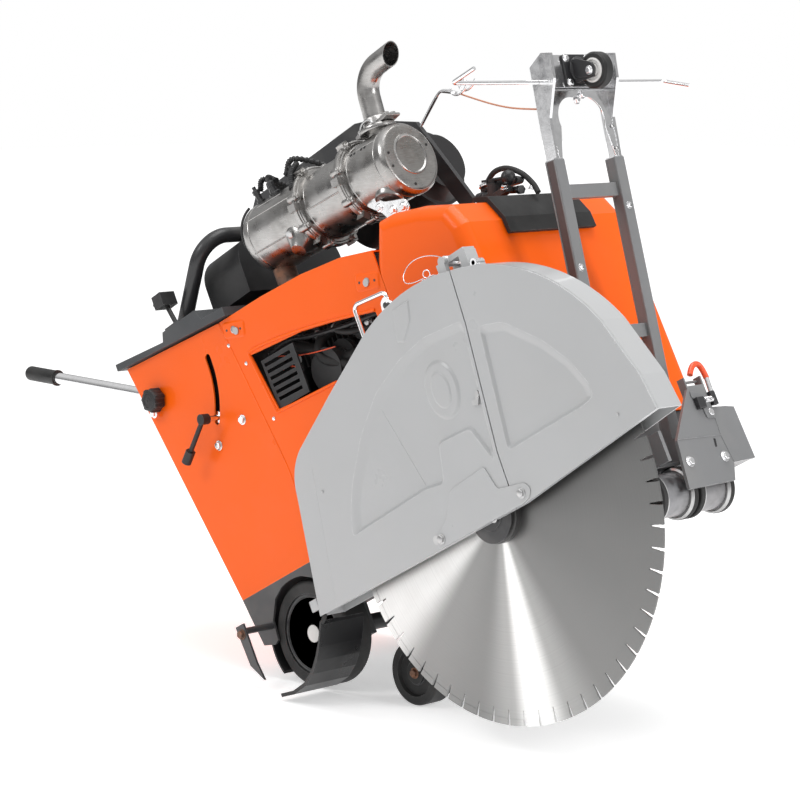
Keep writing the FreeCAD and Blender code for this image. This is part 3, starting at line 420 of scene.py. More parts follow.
# -------------------- CAD nodes keep their shapes, with better surfaces
NODE_LOOK = {"exhaust_elbow": "burnt_steel", "chassis_frame": "skirt_grey", "rear_pointer": "skirt_grey",
    "mud_flap": "flap_rubber", "inner_flange": "dark_paint", "outer_flange": "dark_paint",
    "blade_shaft": "dark_paint", "roll_hoop": "dark_paint", "panel_bolts": "bare_steel",
    "front_wheel_right": "tyre", "front_wheel_left": "tyre",}
record_slots = {part["node"]: part["material_slot"] for part in frame["record"]["subparts"]}
for name, node in frame["nodes"].items():
    node.data.materials.clear()
    node.data.materials.append(M[NODE_LOOK.get(name, record_slots[name])])
    if name != "blade":
        soften = node.modifiers.new("edges", "BEVEL")
        soften.width = 0.0009
        soften.segments = 2
        soften.limit_method = "ANGLE"
        soften.angle_limit = radians(40)
        soften.harden_normals = True

# -------------------- floor, light and camera
floor_mesh = bpy.data.meshes.new("floor")
floor_mesh.from_pydata([(-30, -30, 0), (30, -30, 0), (30, 30, 0), (-30, 30, 0)], [], [(0, 1, 2, 3)])
floor = bpy.data.objects.new("floor", floor_mesh)
bpy.context.scene.collection.objects.link(floor)
floor_look = Shader("floor_white", (0.88, 0.88, 0.88), 0.7, specular=0.1)
away = floor_look.node("ShaderNodeVectorMath", operation="LENGTH")
floor_look.link(floor_look.coords, away.inputs[0])
fade = floor_look.ramp(away.outputs["Value"], 1.0, 3.2)
glow = floor_look.node("ShaderNodeMapRange")
glow.inputs["To Min"].default_value = 0.46
glow.inputs["To Max"].default_value = 1.0
floor_look.link(fade, glow.inputs["Value"])
floor_look.bsdf.inputs["Emission Color"].default_value = (1, 1, 1, 1)
floor_look.link(glow.outputs["Result"], floor_look.bsdf.inputs["Emission Strength"])
floor_look.tint(floor_look.ramp(floor_look.noise(3, 4), 0.3, 0.8), (0.84, 0.84, 0.84), 0.3)
floor_look.tint(fade, (0.3, 0.3, 0.3), 1.0)
floor.data.materials.append(floor_look.mat)


def softbox(name, location, target, size, power):
    light = bpy.data.lights.new(name, "AREA")
    light.shape = "RECTANGLE"
    light.size, light.size_y = size
    light.energy = power
    holder = bpy.data.objects.new(name, light)
    bpy.context.scene.collection.objects.link(holder)
    holder.location = location
    holder.rotation_euler = (Vector(target) - Vector(location)).to_track_quat("-Z", "Y").to_euler()


softbox("key_light", (-1.6, -4.2, 4.2), (0, 0, 0.6), (2.4, 1.6), 70)
softbox("top_light", (0.4, 0.2, 5.2), (0, 0, 0.4), (3.6, 2.6), 130)
softbox("front_light", (5.0, 1.2, 2.4), (0.3, 0, 0.6), (1.4, 2.6), 90)

world = bpy.data.worlds.new("studio")
bpy.context.scene.world = world
world.use_nodes = True
sky = world.node_tree
background = sky.nodes["Background"]
background.inputs["Strength"].default_value = 1.0
coords = sky.nodes.new("ShaderNodeTexCoord")
split = sky.nodes.new("ShaderNodeSeparateXYZ")
sky.links.new(coords.outputs["Generated"], split.inputs[0])
shade = sky.nodes.new("ShaderNodeValToRGB")
shade.color_ramp.elements[0].position = 0.0
shade.color_ramp.elements[0].color = (0.16, 0.16, 0.165, 1)
shade.color_ramp.elements[1].position = 0.22
shade.color_ramp.elements[1].color = (0.30, 0.30, 0.30, 1)
bright = shade.color_ramp.elements.new(0.6)
bright.color = (0.70, 0.70, 0.70, 1)
sky.links.new(split.outputs["Z"], shade.inputs["Fac"])
path = sky.nodes.new("ShaderNodeLightPath")
pick = sky.nodes.new("ShaderNodeMix")
pick.data_type = "RGBA"
pick.inputs["B"].default_value = (1, 1, 1, 1)
sky.links.new(path.outputs["Is Camera Ray"], pick.inputs["Factor"])
sky.links.new(shade.outputs["Color"], pick.inputs["A"])
sky.links.new(pick.outputs["Result"], background.inputs["Color"])
bpy.context.scene.view_settings.view_transform = "Standard"

camera_data = bpy.data.cameras.new("camera")
camera_data.sensor_width = 36
camera_data.lens = 115.9
camera = bpy.data.objects.new("camera", camera_data)
bpy.context.scene.collection.objects.link(camera)
camera.location = Vector((4.406, -4.219, 1.466)) + ROW_SHIFT
camera.rotation_euler = Vector((-0.7140, 0.6878, -0.1315)).to_track_quat("-Z", "Y").to_euler()
bpy.context.scene.camera = camera

# -------------------- outline helpers
def arc3(a, m, b, steps=14):
    """Points after a, up to b, on the circle through a, m and b."""
    ax, ay = a
    mx, my = m
    bx, by = b
    d = 2 * (ax * (my - by) + mx * (by - ay) + bx * (ay - my))
    sa, sm, sb = ax * ax + ay * ay, mx * mx + my * my, bx * bx + by * by
    cx = (sa * (my - by) + sm * (by - ay) + sb * (ay - my)) / d
    cy = (sa * (bx - mx) + sm * (ax - bx) + sb * (mx - ax)) / d
    radius = hypot(ax - cx, ay - cy)
    first, middle, last = (atan2(y - cy, x - cx) for x, y in (a, m, b))
    turn = (last - first) % (2 * pi)
    if (middle - first) % (2 * pi) > turn:
        turn -= 2 * pi
    return [(cx + radius * cos(first + turn * i / steps), cy + radius * sin(first + turn * i / steps))
            for i in range(1, steps + 1)]


def trace(loop):
    """Outline of (x, z) corners, where four numbers are an arc through the first pair to the second."""
    points = [loop[0]]
    for step in loop[1:]:
        if len(step) == 2:
            points.append(step)
        else:
            points += arc3(points[-1], step[:2], step[2:])
    return points


def rounded(points, radius, steps=5):
    """The closed outline with each corner turned into a small curve of steps + 1 points."""
    result = []
    for i, corner in enumerate(points):
        corner = Vector(corner)
        before = Vector(points[i - 1]) - corner
        after = Vector(points[(i + 1) % len(points)]) - corner
        cut = min(radius, 0.45 * before.length, 0.45 * after.length)
        start = corner + before.normalized() * cut
        end = corner + after.normalized() * cut
        for s in range(steps + 1):
            t = s / steps
            result.append(tuple(start * (1 - t) ** 2 + corner * 2 * t * (1 - t) + end * t * t))
    return result


def cap_faces(loops, offsets):
    """Triangles that fill the first loop less the others; offsets are the loops' first vertex numbers."""
    order = [start + i for loop, start in zip(loops, offsets) for i in range(len(loop))]
    flat = [[Vector((x, z, 0)) for x, z in loop] for loop in loops]
    return [tuple(order[i] for i in tri) for tri in tessellate_polygon(flat)]


def ring_faces(first, second, count):
    return [(first + i, first + (i + 1) % count, second + (i + 1) % count, second + i) for i in range(count)]


def weigh(obj):
    mod = obj.modifiers.new("weights", "WEIGHTED_NORMAL")
    mod.keep_sharp = True
    mod.weight = 90
    return obj


def smoothstep(t):
    return t * t * (3 - 2 * t)


GUARD_FACE = -405.0
SKIN_FACE = -411.6


def pressed_skin(name, edge, pocket_edge, pocket_floor, body):
    """Guard face with a pocket pressed into it: flat land, sloping wall and pocket floor."""
    loops = 8
    verts = [(x, SKIN_FACE, z) for x, z in edge] + [(x, GUARD_FACE + 0.4, z) for x, z in edge]
    faces = ring_faces(0, len(edge), len(edge))
    base = len(verts)
    count = len(pocket_edge)
    for k in range(loops + 1):
        t = k / loops
        depth = SKIN_FACE + (GUARD_FACE - 0.3 - SKIN_FACE) * smoothstep(t)
        for (ax, az), (bx, bz) in zip(pocket_edge, pocket_floor):
            verts.append((ax + (bx - ax) * t, depth, az + (bz - az) * t))
        if k:
            faces += ring_faces(base + (k - 1) * count, base + k * count, count)
    faces += cap_faces([edge, pocket_edge], [0, base])
    faces += cap_faces([pocket_floor], [base + loops * count])
    obj = mesh_object(name, verts, faces)
    finish_piece(obj, body, "guard_paint", bevel=1.6)
    return weigh(obj)


def raised_panel(name, outline, low, high, slope, body, material, plane="XZ"):
    """A pressed-up pad: the outline at low rises over slope to a smaller flat top at high."""
    centre = Vector((sum(p[0] for p in outline), sum(p[1] for p in outline))) / len(outline)
    loops = 6
    count = len(outline)
    verts = []
    faces = []
    top = []
    for k in range(loops + 1):
        t = k / loops
        ring = []
        for i, point in enumerate(outline):
            before, after = Vector(outline[i - 1]), Vector(outline[(i + 1) % count])
            along = (after - before).normalized()
            inward = Vector((-along.y, along.x))
            if inward.dot(centre - Vector(point)) < 0:
                inward = -inward
            ring.append(tuple(Vector(point) + inward * slope * t))
        level = low + (high - low) * smoothstep(t)
        verts += [(x, level, z) if plane == "XZ" else (level, x, z) for x, z in ring]
        if k:
            faces += ring_faces((k - 1) * count, k * count, count)
        top = ring
    faces += cap_faces([top], [loops * count])
    obj = mesh_object(name, verts, faces)
    finish_piece(obj, body, material)
    return weigh(obj)


def on_plane(level, points):
    """(x, z) points put on the plane Y = level."""
    return [(x, level, z) for x, z in points]


def ellipse(cx, cz, rx, rz, steps=40):
    return [(cx + rx * cos(2 * pi * i / steps), cz + rz * sin(2 * pi * i / steps)) for i in range(steps)]


def swept(name, points, body, material, radius, steps=90, sides=16, ribs=0, rib_depth=1.2, place=TILT):
    """Hose along a smooth path, with ribs round it if it is corrugated."""
    knots = [Vector(p) for p in points]
    knots = [knots[0] * 2 - knots[1], *knots, knots[-1] * 2 - knots[-2]]
    path = []
    spans = len(knots) - 3
    for i in range(steps + 1):
        u = i / steps * spans
        k = min(int(u), spans - 1)
        t = u - k
        a, b, c, d = knots[k:k + 4]
        path.append(0.5 * (2 * b + (c - a) * t + (2 * a - 5 * b + 4 * c - d) * t * t
                           + (3 * b - a - 3 * c + d) * t ** 3))
    verts = []
    faces = []
    _, side, up = basis(path[1] - path[0])
    for i, point in enumerate(path):
        along = (path[min(i + 1, steps)] - path[max(i - 1, 0)]).normalized()
        side = (side - along * side.dot(along)).normalized()
        up = along.cross(side)
        r = radius + (rib_depth * cos(2 * pi * ribs * i / steps) if ribs else 0)
        verts += [point + (side * cos(2 * pi * s / sides) + up * sin(2 * pi * s / sides)) * r
                  for s in range(sides)]
        if i:
            faces += ring_faces((i - 1) * sides, i * sides, sides)
    faces.append(tuple(range(sides)))
    faces.append(tuple(range(steps * sides, (steps + 1) * sides)))
    return piece(name, (verts, faces), body, material, place=place)


SIDE_OUT = (0, -1, 0)

# -------------------- guard: pressed faces, cover plate and fittings
rear_edge = trace([
    (217, -7.5), (901, -7.5), (904, 115), (944, 390), (953, 508.5), (800, 525.5, 640, 491.5), (486, 423.5),
    (338, 353.5), (296, 317.5, 275, 261.5),
])
front_edge = trace([
    (933, -7.5), (1347.5, 32), (1337.5, 108), (1291.5, 246), (1141.5, 427.5, 956.5, 508.5), (947.5, 390),
    (907.5, 115), (904.5, -7.5),
])
rear_pocket = rounded([(405, 114), (428, 170), (461, 221), (535, 302), (625, 368), (726, 403), (814, 416),
    (937, 402), (897, 116), (887, 106), (853, 190), (754, 196), (728, 114), (670, 124)], 14)
rear_floor = rounded([(440, 124), (454, 161), (488, 209), (555, 277), (642, 343), (739, 381), (820, 393),
    (929, 382), (892, 142), (885, 128), (858, 198), (748, 204), (722, 123), (667, 132)], 14)
front_pocket = rounded([
    (978, 372), (1046, 351), (1130, 273), (1180, 207), (1208, 142), (1206, 118), (1175, 111), (935, 107),
], 16)
front_floor = rounded([
    (984, 352), (1036, 332), (1113, 259), (1158, 201), (1183, 145), (1184, 124), (1170, 119), (944, 116),
], 10)
pressed_skin("guard_rear_face", rear_edge, rear_pocket, rear_floor, "chassis")
pressed_skin("guard_front_face", front_edge, front_pocket, front_floor, "guard_front")

badge_low = GUARD_FACE - 0.3
raised_panel("guard_badge_rim", ellipse(812, 296, 52, 66), badge_low, badge_low - 4.4, 9, "chassis",
    "guard_paint")
raised_panel("guard_badge_middle", ellipse(812, 296, 30, 43), badge_low - 4.2, badge_low - 6.6, 7, "chassis",
    "guard_paint")
raised_panel("guard_top_crease", rounded([(757, 508), (737, 436), (760, 428), (800, 462), (816, 508)], 8),
    SKIN_FACE + 0.2, SKIN_FACE - 3.0, 5, "chassis", "guard_paint")
smooth_curve("guard_rear_crease", on_plane(SKIN_FACE + 0.7, [(281, -3), (306, 110), (331, 208), (352, 300)]),
    1.1, "chassis", "guard_paint")
smooth_curve("guard_pocket_crease", on_plane(GUARD_FACE + 0.2, [(614, 345), (668, 136)]), 1.2, "chassis",
    "guard_paint", order=2)
cover_outline = rounded([(650, -6), (654, 14), (669, 28), (706, 48), (741, 96), (857, 104), (872, 48),
    (950, 32), (962, 16), (950, -1), (926, -6)], 9)
cover = mesh_object("hub_cover_plate", *slab(cover_outline, SKIN_FACE + 0.2, -3.0))
finish_piece(cover, "chassis", "guard_paint", bevel=0.9)
bolts_piece("guard_cover_bolts", [((933, SKIN_FACE - 2.8, 15), SIDE_OUT, 8, 7),
    ((668, SKIN_FACE - 2.8, 12), SIDE_OUT, 8, 7)], "chassis")
turned_piece("guard_lower_nut", [(7, 0), (7, 6), (9, 6), (9, 12), (4, 12), (4, 16), (0.01, 16)],
    (829, -398, -3), SIDE_OUT, "chassis", "bare_steel", steps=24, bevel=0.5)
bolts_piece("guard_face_spots", [((x, SKIN_FACE, z), SIDE_OUT, 3.2, 2.2, False) for x, z in ((1310, 190),
    (1250, 60), (360, 240))], "chassis", "guard_paint")

# flap clip and strap at the guard's lower rear corner
piece("flap_clip", box_part((196, -412, 8), (222, -404, 34)), "chassis", "guard_paint", bevel=1.5)
piece("flap_strap", slab(rounded([(222, 36), (236, 30), (234, -14), (214, -26), (206, -20), (222, -8)], 5),
    -409, 3.4), "chassis", "rubber", bevel=0.8)

# top of the guard: hinge sleeve, spare knuckle, pin stubs, lanyard and handle eyes
HINGE = (930, 540)
tube_wall = [(6.4, 0), (11.6, 0), (12.2, 1), (12.2, 39), (11.6, 40), (6.4, 40), (6.4, 0)]
turned_piece("hinge_sleeve", tube_wall, (HINGE[0], -350.5, HINGE[1]), SIDE_OUT, "guard_front", "chrome",
    steps=40)
small_tube = [(5, 0), (9.5, 0), (9.5, 26), (5, 26), (5, 0)]
turned_piece("guard_lift_eye", small_tube, (1004, -362, 503), SIDE_OUT, "guard_front", "chrome", steps=32)
piece("lift_eye_foot", box_part((990, -384, 484), (1016, -364, 497)), "guard_front", "chrome", bevel=1.2)
bolts_piece("guard_top_bolts", [((866, -372, 529), (0.1, 0, 1), 7, 7), ((842, -376, 531), (0.1, 0, 1), 6, 6),
    ((886, -368, 524), (0, 0, 1), 6, 8)], "chassis", "chrome")
smooth_curve("pin_lanyard", [(842, -376, 540), (800, -372, 545), (762, -365, 560), (778, -350, 597),
    (830, -345, 600), (888, -356, 572), (914, -370, 552)], 1.1, "chassis", "chrome")
smooth_curve("pin_lanyard_loop", [(846, -380, 540), (856, -384, 552), (870, -384, 550), (872, -380, 538),
    (858, -378, 533)], 1.2, "chassis", "chrome", cyclic=True)
for eye_x, eye_z in ((716, 536), (607, 492)):
    turned_piece(f"handle_eye_{eye_x}", [(5.2, -7), (11, -7), (12, -5), (12, 5), (11, 7), (5.2, 7),
        (5.2, -7)], (eye_x - 2, -370, eye_z), (0.15, 0, 1), "chassis", "chrome", steps=28)
piece("handle_bracket", slab(rounded([(690, 496), (736, 508), (738, 530), (716, 556), (700, 548)], 7), -381,
    4), "chassis", "chrome", bevel=0.8)
turned_piece("handle_bracket_bolt", [(7, 0), (7, 5), (4, 6), (0.01, 6)], (716, -381, 534), SIDE_OUT,
    "chassis", "dark_paint", steps=20)

# -------------------- exhaust
CAN_START = Vector((169, -140, 932.5))
CAN_DROP = radians(4.56)
CAN_AXIS = Vector((cos(CAN_DROP), 0, -sin(CAN_DROP)))
CAN_UP = Vector((sin(CAN_DROP), 0, cos(CAN_DROP)))
CAN_LENGTH = 541.5
CAN_RADIUS = 84


def on_can(distance, angle, radius=CAN_RADIUS):
    """Point on the canister: angle 0 is the top and 90 the near side."""
    a = radians(angle)
    return CAN_START + CAN_AXIS * distance + (CAN_UP * cos(a) + Vector((0, -1, 0)) * sin(a)) * radius


def from_can(angle):
    a = radians(angle)
    return CAN_UP * cos(a) + Vector((0, -1, 0)) * sin(a)


cap_face = on_can(CAN_LENGTH, 0, 0)
turned_piece("cap_rim", [(CAN_RADIUS - 11, -3), (CAN_RADIUS - 4, -1), (CAN_RADIUS + 1.6, -8),
    (CAN_RADIUS + 2.4, -14), (CAN_RADIUS + 2.0, -26), (CAN_RADIUS - 1, -27)], cap_face, CAN_AXIS, "chassis",
    "stainless", steps=72)
turned_piece("cap_ring", [(50, -0.6), (48.5, 1.6), (45.5, 2.4), (43, 1.2), (41, -0.6)],
    on_can(CAN_LENGTH, -20, 8), CAN_AXIS, "chassis", "stainless", steps=72)
# painted shade: dark discs on the cap face where its holes are
cap_hole_shade_discs = [lathe([(3.6, -0.5), (3.6, 1.2), (0.01, 1.3)], on_can(CAN_LENGTH - 0.4, angle, 66), CAN_AXIS, 16)
         for angle in (-65, 80, 172, 108)]
piece("cap_hole_shade", join(cap_hole_shade_discs), "chassis", "black_and_painted_shade")

clamp_bolts = []
for clamp_at in (229, 391):
    for angle in range(-60, 300, 45):
        spot = on_can(clamp_at - 13, angle, CAN_RADIUS + 12)
        clamp_bolts.append(lathe([(9, 0), (9, 2), (10.5, 4), (10.5, 22), (9, 24), (9, 26)], spot, CAN_AXIS,
            20))
        clamp_bolts.append(bolt(spot + CAN_AXIS * 26, CAN_AXIS, 6.5, 7))
        clamp_bolts.append(bolt(spot, -CAN_AXIS, 6, 6))
piece("clamp_bolts", join(clamp_bolts), "chassis", "stainless", bevel=0.7)
bands = []
for clamp_at in (229, 391):
    profile = [(CAN_RADIUS + 1, -13), (CAN_RADIUS + 7, -12), (CAN_RADIUS + 10, -7), (CAN_RADIUS + 16, -5),
               (CAN_RADIUS + 16.5, 0), (CAN_RADIUS + 16, 5), (CAN_RADIUS + 10, 7), (CAN_RADIUS + 7, 12),
               (CAN_RADIUS + 1, 13)]
    bands.append(lathe(profile, on_can(clamp_at, 0, 0), CAN_AXIS, 80))
piece("clamp_bands", join(bands), "chassis", "stainless")
beads = []
for ring_at, bead_r in ((36, 1.6), (210, 1.4), (252, 1.4), (372, 1.4), (412, 1.6), (508, 1.4)):
    beads.append(lathe([(CAN_RADIUS - 1 + (2 if ring_at < 229 else 0) + bead_r * 1.6 * sin(pi * k / 6),
                         bead_r * 2.4 * (k / 3 - 1)) for k in range(7)],
                       on_can(ring_at, 0, 0), CAN_AXIS, 72))
piece("can_beads", join(beads), "chassis", "stainless")
SEAMS = ((30, 212, 62), (30, 212, 118), (250, 372, 100), (412, 505, 48), (60, 150, 40))
for seam_number, (start, end, angle) in enumerate(SEAMS, 1):
    side_gap = 1.6 if start < 229 else -0.4
    smooth_curve(f"can_seam_{seam_number}", [tuple(on_can(start, angle, CAN_RADIUS + side_gap)),
        tuple(on_can(end, angle, CAN_RADIUS + side_gap))], 1.9, "chassis", "stainless", order=2)
# painted shade: pairs of dark discs where the canister's slots are
can_slot_shade_discs = []
for slot_at in (425, 462):
    can_slot_shade_discs.append(lathe([(3.5, -1), (3.5, 1.6), (0.01, 1.8)], on_can(slot_at, 52, CAN_RADIUS - 0.6),
        from_can(52), 14))
    can_slot_shade_discs.append(lathe([(3.5, -1), (3.5, 1.6), (0.01, 1.8)], on_can(slot_at + 12, 52, CAN_RADIUS - 0.6),
                       from_can(52), 14))
piece("can_slot_shade", join(can_slot_shade_discs), "chassis", "black_and_painted_shade")

ports = []
for port_at, angle in ((48, 18), (78, 6), (112, 22), (150, 2), (176, 12)):
    spot = on_can(port_at, angle, CAN_RADIUS)
    ports.append(lathe([(12, 0), (12, 8), (8, 9), (8, 24), (10, 25), (10, 34), (5, 36), (5, 44), (0.01, 44)],
                       spot, from_can(angle), 6))
piece("can_ports", join(ports), "chassis", "dark_paint", bevel=0.8)
SENSOR_HOSES = ((48, 62, 90, -40), (112, 58, 60, -70), (150, 66, 230, -60), (176, 52, 205, 60))
for hose_number, (start, lift, end, away) in enumerate(SENSOR_HOSES, 1):
    swept(f"sensor_hose_{hose_number}", [tuple(on_can(start, 10, CAN_RADIUS + 30)),
        tuple(on_can((start + end) / 2, 8, CAN_RADIUS + lift - 12)), tuple(on_can(end, away / 2,
        CAN_RADIUS + 26)), tuple(on_can(end + 20, away, CAN_RADIUS + 14))], "chassis", "black_plastic", 6.5,
        ribs=24, rib_depth=1.3)
smooth_curve("sensor_line", [tuple(on_can(20, 30, CAN_RADIUS + 6)), tuple(on_can(5, 55, CAN_RADIUS + 10)),
    tuple(on_can(-6, 85, CAN_RADIUS - 4)), tuple(on_can(2, 110, CAN_RADIUS - 16))], 3.2, "chassis",
    "black_plastic")
turned_piece("can_drain_port", [(33, -22), (33, 0), (31, 3), (22, 4), (20, 1.5), (0.01, 1)],
    on_can(478, 152, CAN_RADIUS + 4), from_can(152), "chassis", "stainless", steps=48)
turned_piece("inlet_boss", [(46, -30), (44, -8), (30, 12), (22, 22), (18, 30), (0.01, 31)],
    on_can(175, 140, CAN_RADIUS - 2), from_can(140), "chassis", "stainless", steps=48)
turned_piece("inlet_plug", [(11, 0), (11, 10), (7, 12), (0.01, 12)], on_can(175, 118, CAN_RADIUS + 6),
    from_can(118), "chassis", "bare_steel", steps=6, bevel=0.8)

bracket = [(578, 830), (620, 792), (634, 764), (690, 758), (706, 768), (700, 792), (664, 804), (636, 814),
    (604, 844)]
piece("can_bracket", slab(rounded(bracket, 8), -196, 4), "chassis", "chrome", bevel=0.9)
bolts_piece("can_bracket_bolts", [((688, -196, 776), SIDE_OUT, 8, 8), ((654, -196, 784), SIDE_OUT, 8, 8),
    ((616, -196, 808), SIDE_OUT, 7, 8)], "chassis", "chrome")

pipe_foot = Vector((642, -140, 992))
turned_piece("pipe_flange", [(26, -6), (44, -6), (45, -4), (45, 2), (44, 4), (31, 5), (30, 24), (29, 26),
    (26, 26), (26, -6)], pipe_foot, (0.06, 0, 1), "chassis", "stainless", steps=48)
piece("pipe_flange_wings", slab(rounded([(586, 992), (618, 988), (668, 994), (704, 998), (704, 1005),
    (586, 1001)], 3), -162, 44), "chassis", "stainless", bevel=1.5)
bolts_piece("pipe_flange_bolts", [((x, -140 + y, 1002), (0.06, 0, 1), 7, 9) for x in (597, 692) for y in (-10,
    10)], "chassis", "stainless")
for turn_y in (-34, 34):
    smooth_curve(f"pipe_u_bolt_{'near' if turn_y < 0 else 'far'}", [(620, -140 + turn_y, 996),
        (622, -140 + turn_y, 1016), (662, -140 + turn_y, 1018), (664, -140 + turn_y, 998)], 3, "chassis",
        "bare_steel")

# dark disc in the tailpipe mouth: soot, and painted shade inside the pipe
turned_piece("tailpipe_soot_and_shade", [(24, 0), (24, 2), (0.01, 2)], (722, -140, 1123), (1, 0, 0.04), "chassis",
    "black_and_painted_shade", steps=40)

# -------------------- lifting bail wire
bail_wire = [(628, 0, 990), (700, 0, 1026), (735, 0, 1043), (752, 0, 1036), (786, 0, 1008)]
smooth_curve("bail_wire", bail_wire, 3.6, "chassis", "chrome")
coil = [(790 + 20 * cos(2 * pi * k / 10 + 2.4) + k * 2.2, -8 + k * 0.8,
    1016 + 15 * sin(2 * pi * k / 10 + 2.4)) for k in range(17)]
smooth_curve("bail_wire_curl", coil, 2.6, "chassis", "chrome")

# -------------------- side panels
PANEL = -270.2
bolts_piece("side_bolts", [((22, PANEL, 538), SIDE_OUT, 8.5, 9), ((-89, PANEL, 516), SIDE_OUT, 8.5, 9)],
    "chassis", "chrome")
rivets = [lathe([(5, 0), (5, 1.4), (3.4, 3), (0.01, 3.4)], (x, PANEL, z), SIDE_OUT, 20)
          for x, z in ((100, 651), (129, 497), (61, 714), (388, 488))]
piece("side_rivets", join(rivets), "chassis", "chrome")
for pad_x, pad_z, length in ((98, 740, 40), (575, 648, 40)):
    tilt = Vector((cos(radians(-18)), sin(radians(-18))))
    across = Vector((-tilt.y, tilt.x))
    corners = [Vector((pad_x, pad_z)) + tilt * a * length + across * b * 21
               for a, b in ((-1, -1), (1, -1), (1, 1), (-1, 1))]
    raised_panel(f"latch_pad_{pad_x}", rounded([tuple(c) for c in corners], 12), PANEL, PANEL - 2.6, 5,
        "chassis", "orange_paint")
    middle = (pad_x, PANEL - 2.4, pad_z)
    turned_piece(f"latch_screw_{pad_x}", [(9, 0), (9, 1.6), (6, 2.4), (5.4, 0.8), (0.01, 0.8)], middle,
        SIDE_OUT, "chassis", "bare_steel", steps=28)
    # painted shade: two dark dots where each pad's small holes are
    latch_hole_shade_dots = [lathe([(3, 0), (3, 0.7), (0.01, 0.8)], (pad_x + tilt.x * s * 25, PANEL - 2.5,
        pad_z + tilt.y * s * 25), SIDE_OUT, 14) for s in (-1, 1)]
    piece(f"latch_hole_shade_{pad_x}", join(latch_hole_shade_dots), "chassis", "dark_paint")
smooth_curve("side_seam_bead", on_plane(PANEL + 1.2, [(53, 775), (72, 665), (88, 563), (118, 400), (124, 330),
    (112, 250), (90, 172)]), 2.6, "chassis", "orange_paint")
smooth_curve("window_bead", on_plane(PANEL + 0.8, [(370, 488), (256, 497), (148, 505), (146, 508), (118, 664),
    (119, 674), (220, 662), (312, 645), (451, 613), (566, 582)]), 4.2, "chassis", "orange_paint", order=3)

KNOB = Vector((-250, -304, 704))
knob_rings = [lathe([(26.5, -30), (27.5, -26), (27.5, -4), (25, 0), (18, 1), (17, -1.5), (9, -1.5), (8.5, 1),
                     (4, 1.4), (3.6, -1), (0.01, -1)], KNOB, SIDE_OUT, 48)]
for step in range(7):
    angle = 2 * pi * step / 7
    knob_rings.append(lathe([(7.4, -30), (7.6, -5), (5, -0.6), (0.01, -0.2)],
                            KNOB + Vector((cos(angle), 0, sin(angle))) * 23.4, SIDE_OUT, 20))
piece("height_knob_grip", join(knob_rings), "height_knob", "black_plastic", bevel=0.6)
bolts_piece("height_knob_stud", [((-272, -280, 676), SIDE_OUT, 8, 10)], "chassis", "chrome")

# -------------------- wheel arch liners, and dark sheets that paint the shade behind the side slot and in the engine bay
def arch_liner(side):
    """Inner fender over a rear wheel, from behind the axle over the top to the front."""
    outline = [(144 * cos(radians(a)), 144 * sin(radians(a))) for a in range(38, 204, 4)]
    outline += [(139 * cos(radians(a)), 139 * sin(radians(a))) for a in range(200, 34, -4)]
    start = -268 if side < 0 else 178
    return slab(outline, start, 90)


piece("wheel_arch_liners", join([arch_liner(-1), arch_liner(1)]), "chassis", "black_and_painted_shade")
# painted shade: dark plates where there is only shade, behind the side slot and deep in the engine bay
piece("slot_shade", box_part((-125, -254, 470), (45, -251, 775)), "chassis", "black_and_painted_shade")
piece("bay_rear_shade_sheet", box_part((62, -258, 160), (68, 215, 740)), "chassis", "black_and_painted_shade")
piece("bay_inner_shade_sheet", box_part((66, 18, 560), (600, 22, 690)), "chassis", "black_and_painted_shade")

# -------------------- engine bay behind the window
ENGINE_HOSES = {"coolant_hose_upper": ([(150, -200, 640), (215, -215, 640), (280, -210, 600),
    (330, -190, 560), (390, -190, 545)], 15, "rubber"), "coolant_hose_lower": ([(330, -160, 640),
    (300, -205, 618), (300, -218, 575), (360, -205, 530)], 12, "rubber"),
    "fuel_hose": ([(400, -140, 640), (370, -212, 622), (420, -222, 590), (500, -190, 575)], 8, "rubber"),
    "breather_hose": ([(430, -150, 655), (455, -215, 628), (520, -215, 600), (560, -180, 590)], 11, "rubber"),
    "harness_loom": ([(140, -225, 655), (220, -228, 655), (300, -224, 632), (420, -224, 606),
    (540, -210, 590)], 6, "black_plastic"),}
for hose, (points, radius, look) in ENGINE_HOSES.items():
    loom = hose == "harness_loom"
    swept(hose, points, "chassis", look, radius, ribs=70 if loom else 0, rib_depth=0.7)
smooth_curve("red_wire", [(150, -232, 645), (190, -234, 628), (240, -232, 606), (300, -230, 590),
    (360, -226, 578)], 1.5, "chassis", "red_plastic")
smooth_curve("red_wire_second", [(170, -228, 600), (195, -234, 612), (205, -234, 590), (230, -230, 585)], 1.8,
    "chassis", "red_plastic")
pulleys = []
for px, pz, pr in ((330, 560, 44), (420, 600, 30), (250, 640, 26)):
    pulleys.append(lathe([(8, 0), (8, 22), (pr * 0.5, 22), (pr * 0.55, 16), (pr - 4, 16), (pr, 18), (pr, 12),
        (pr - 4, 9), (pr, 6), (pr, 0), (pr * 0.5, 0), (8, 0)], (px, -168, pz), SIDE_OUT, 48))
piece("engine_pulleys", join(pulleys), "chassis", "engine_alloy")
bolts_piece("engine_bolts", [((x, y, z), SIDE_OUT, 8, 9) for x, y, z in ((296, -206, 634), (214, -212, 607),
    (268, -214, 612), (330, -192, 560), (420, -192, 600), (470, -205, 590), (205, -205, 655),
    (360, -205, 625))], "chassis", "bare_steel")
piece("engine_fins", join([box_part((150 + 18 * k, -150, 600), (156 + 18 * k, -120, 690))
    for k in range(18)]), "chassis", "engine_alloy", bevel=0.8)

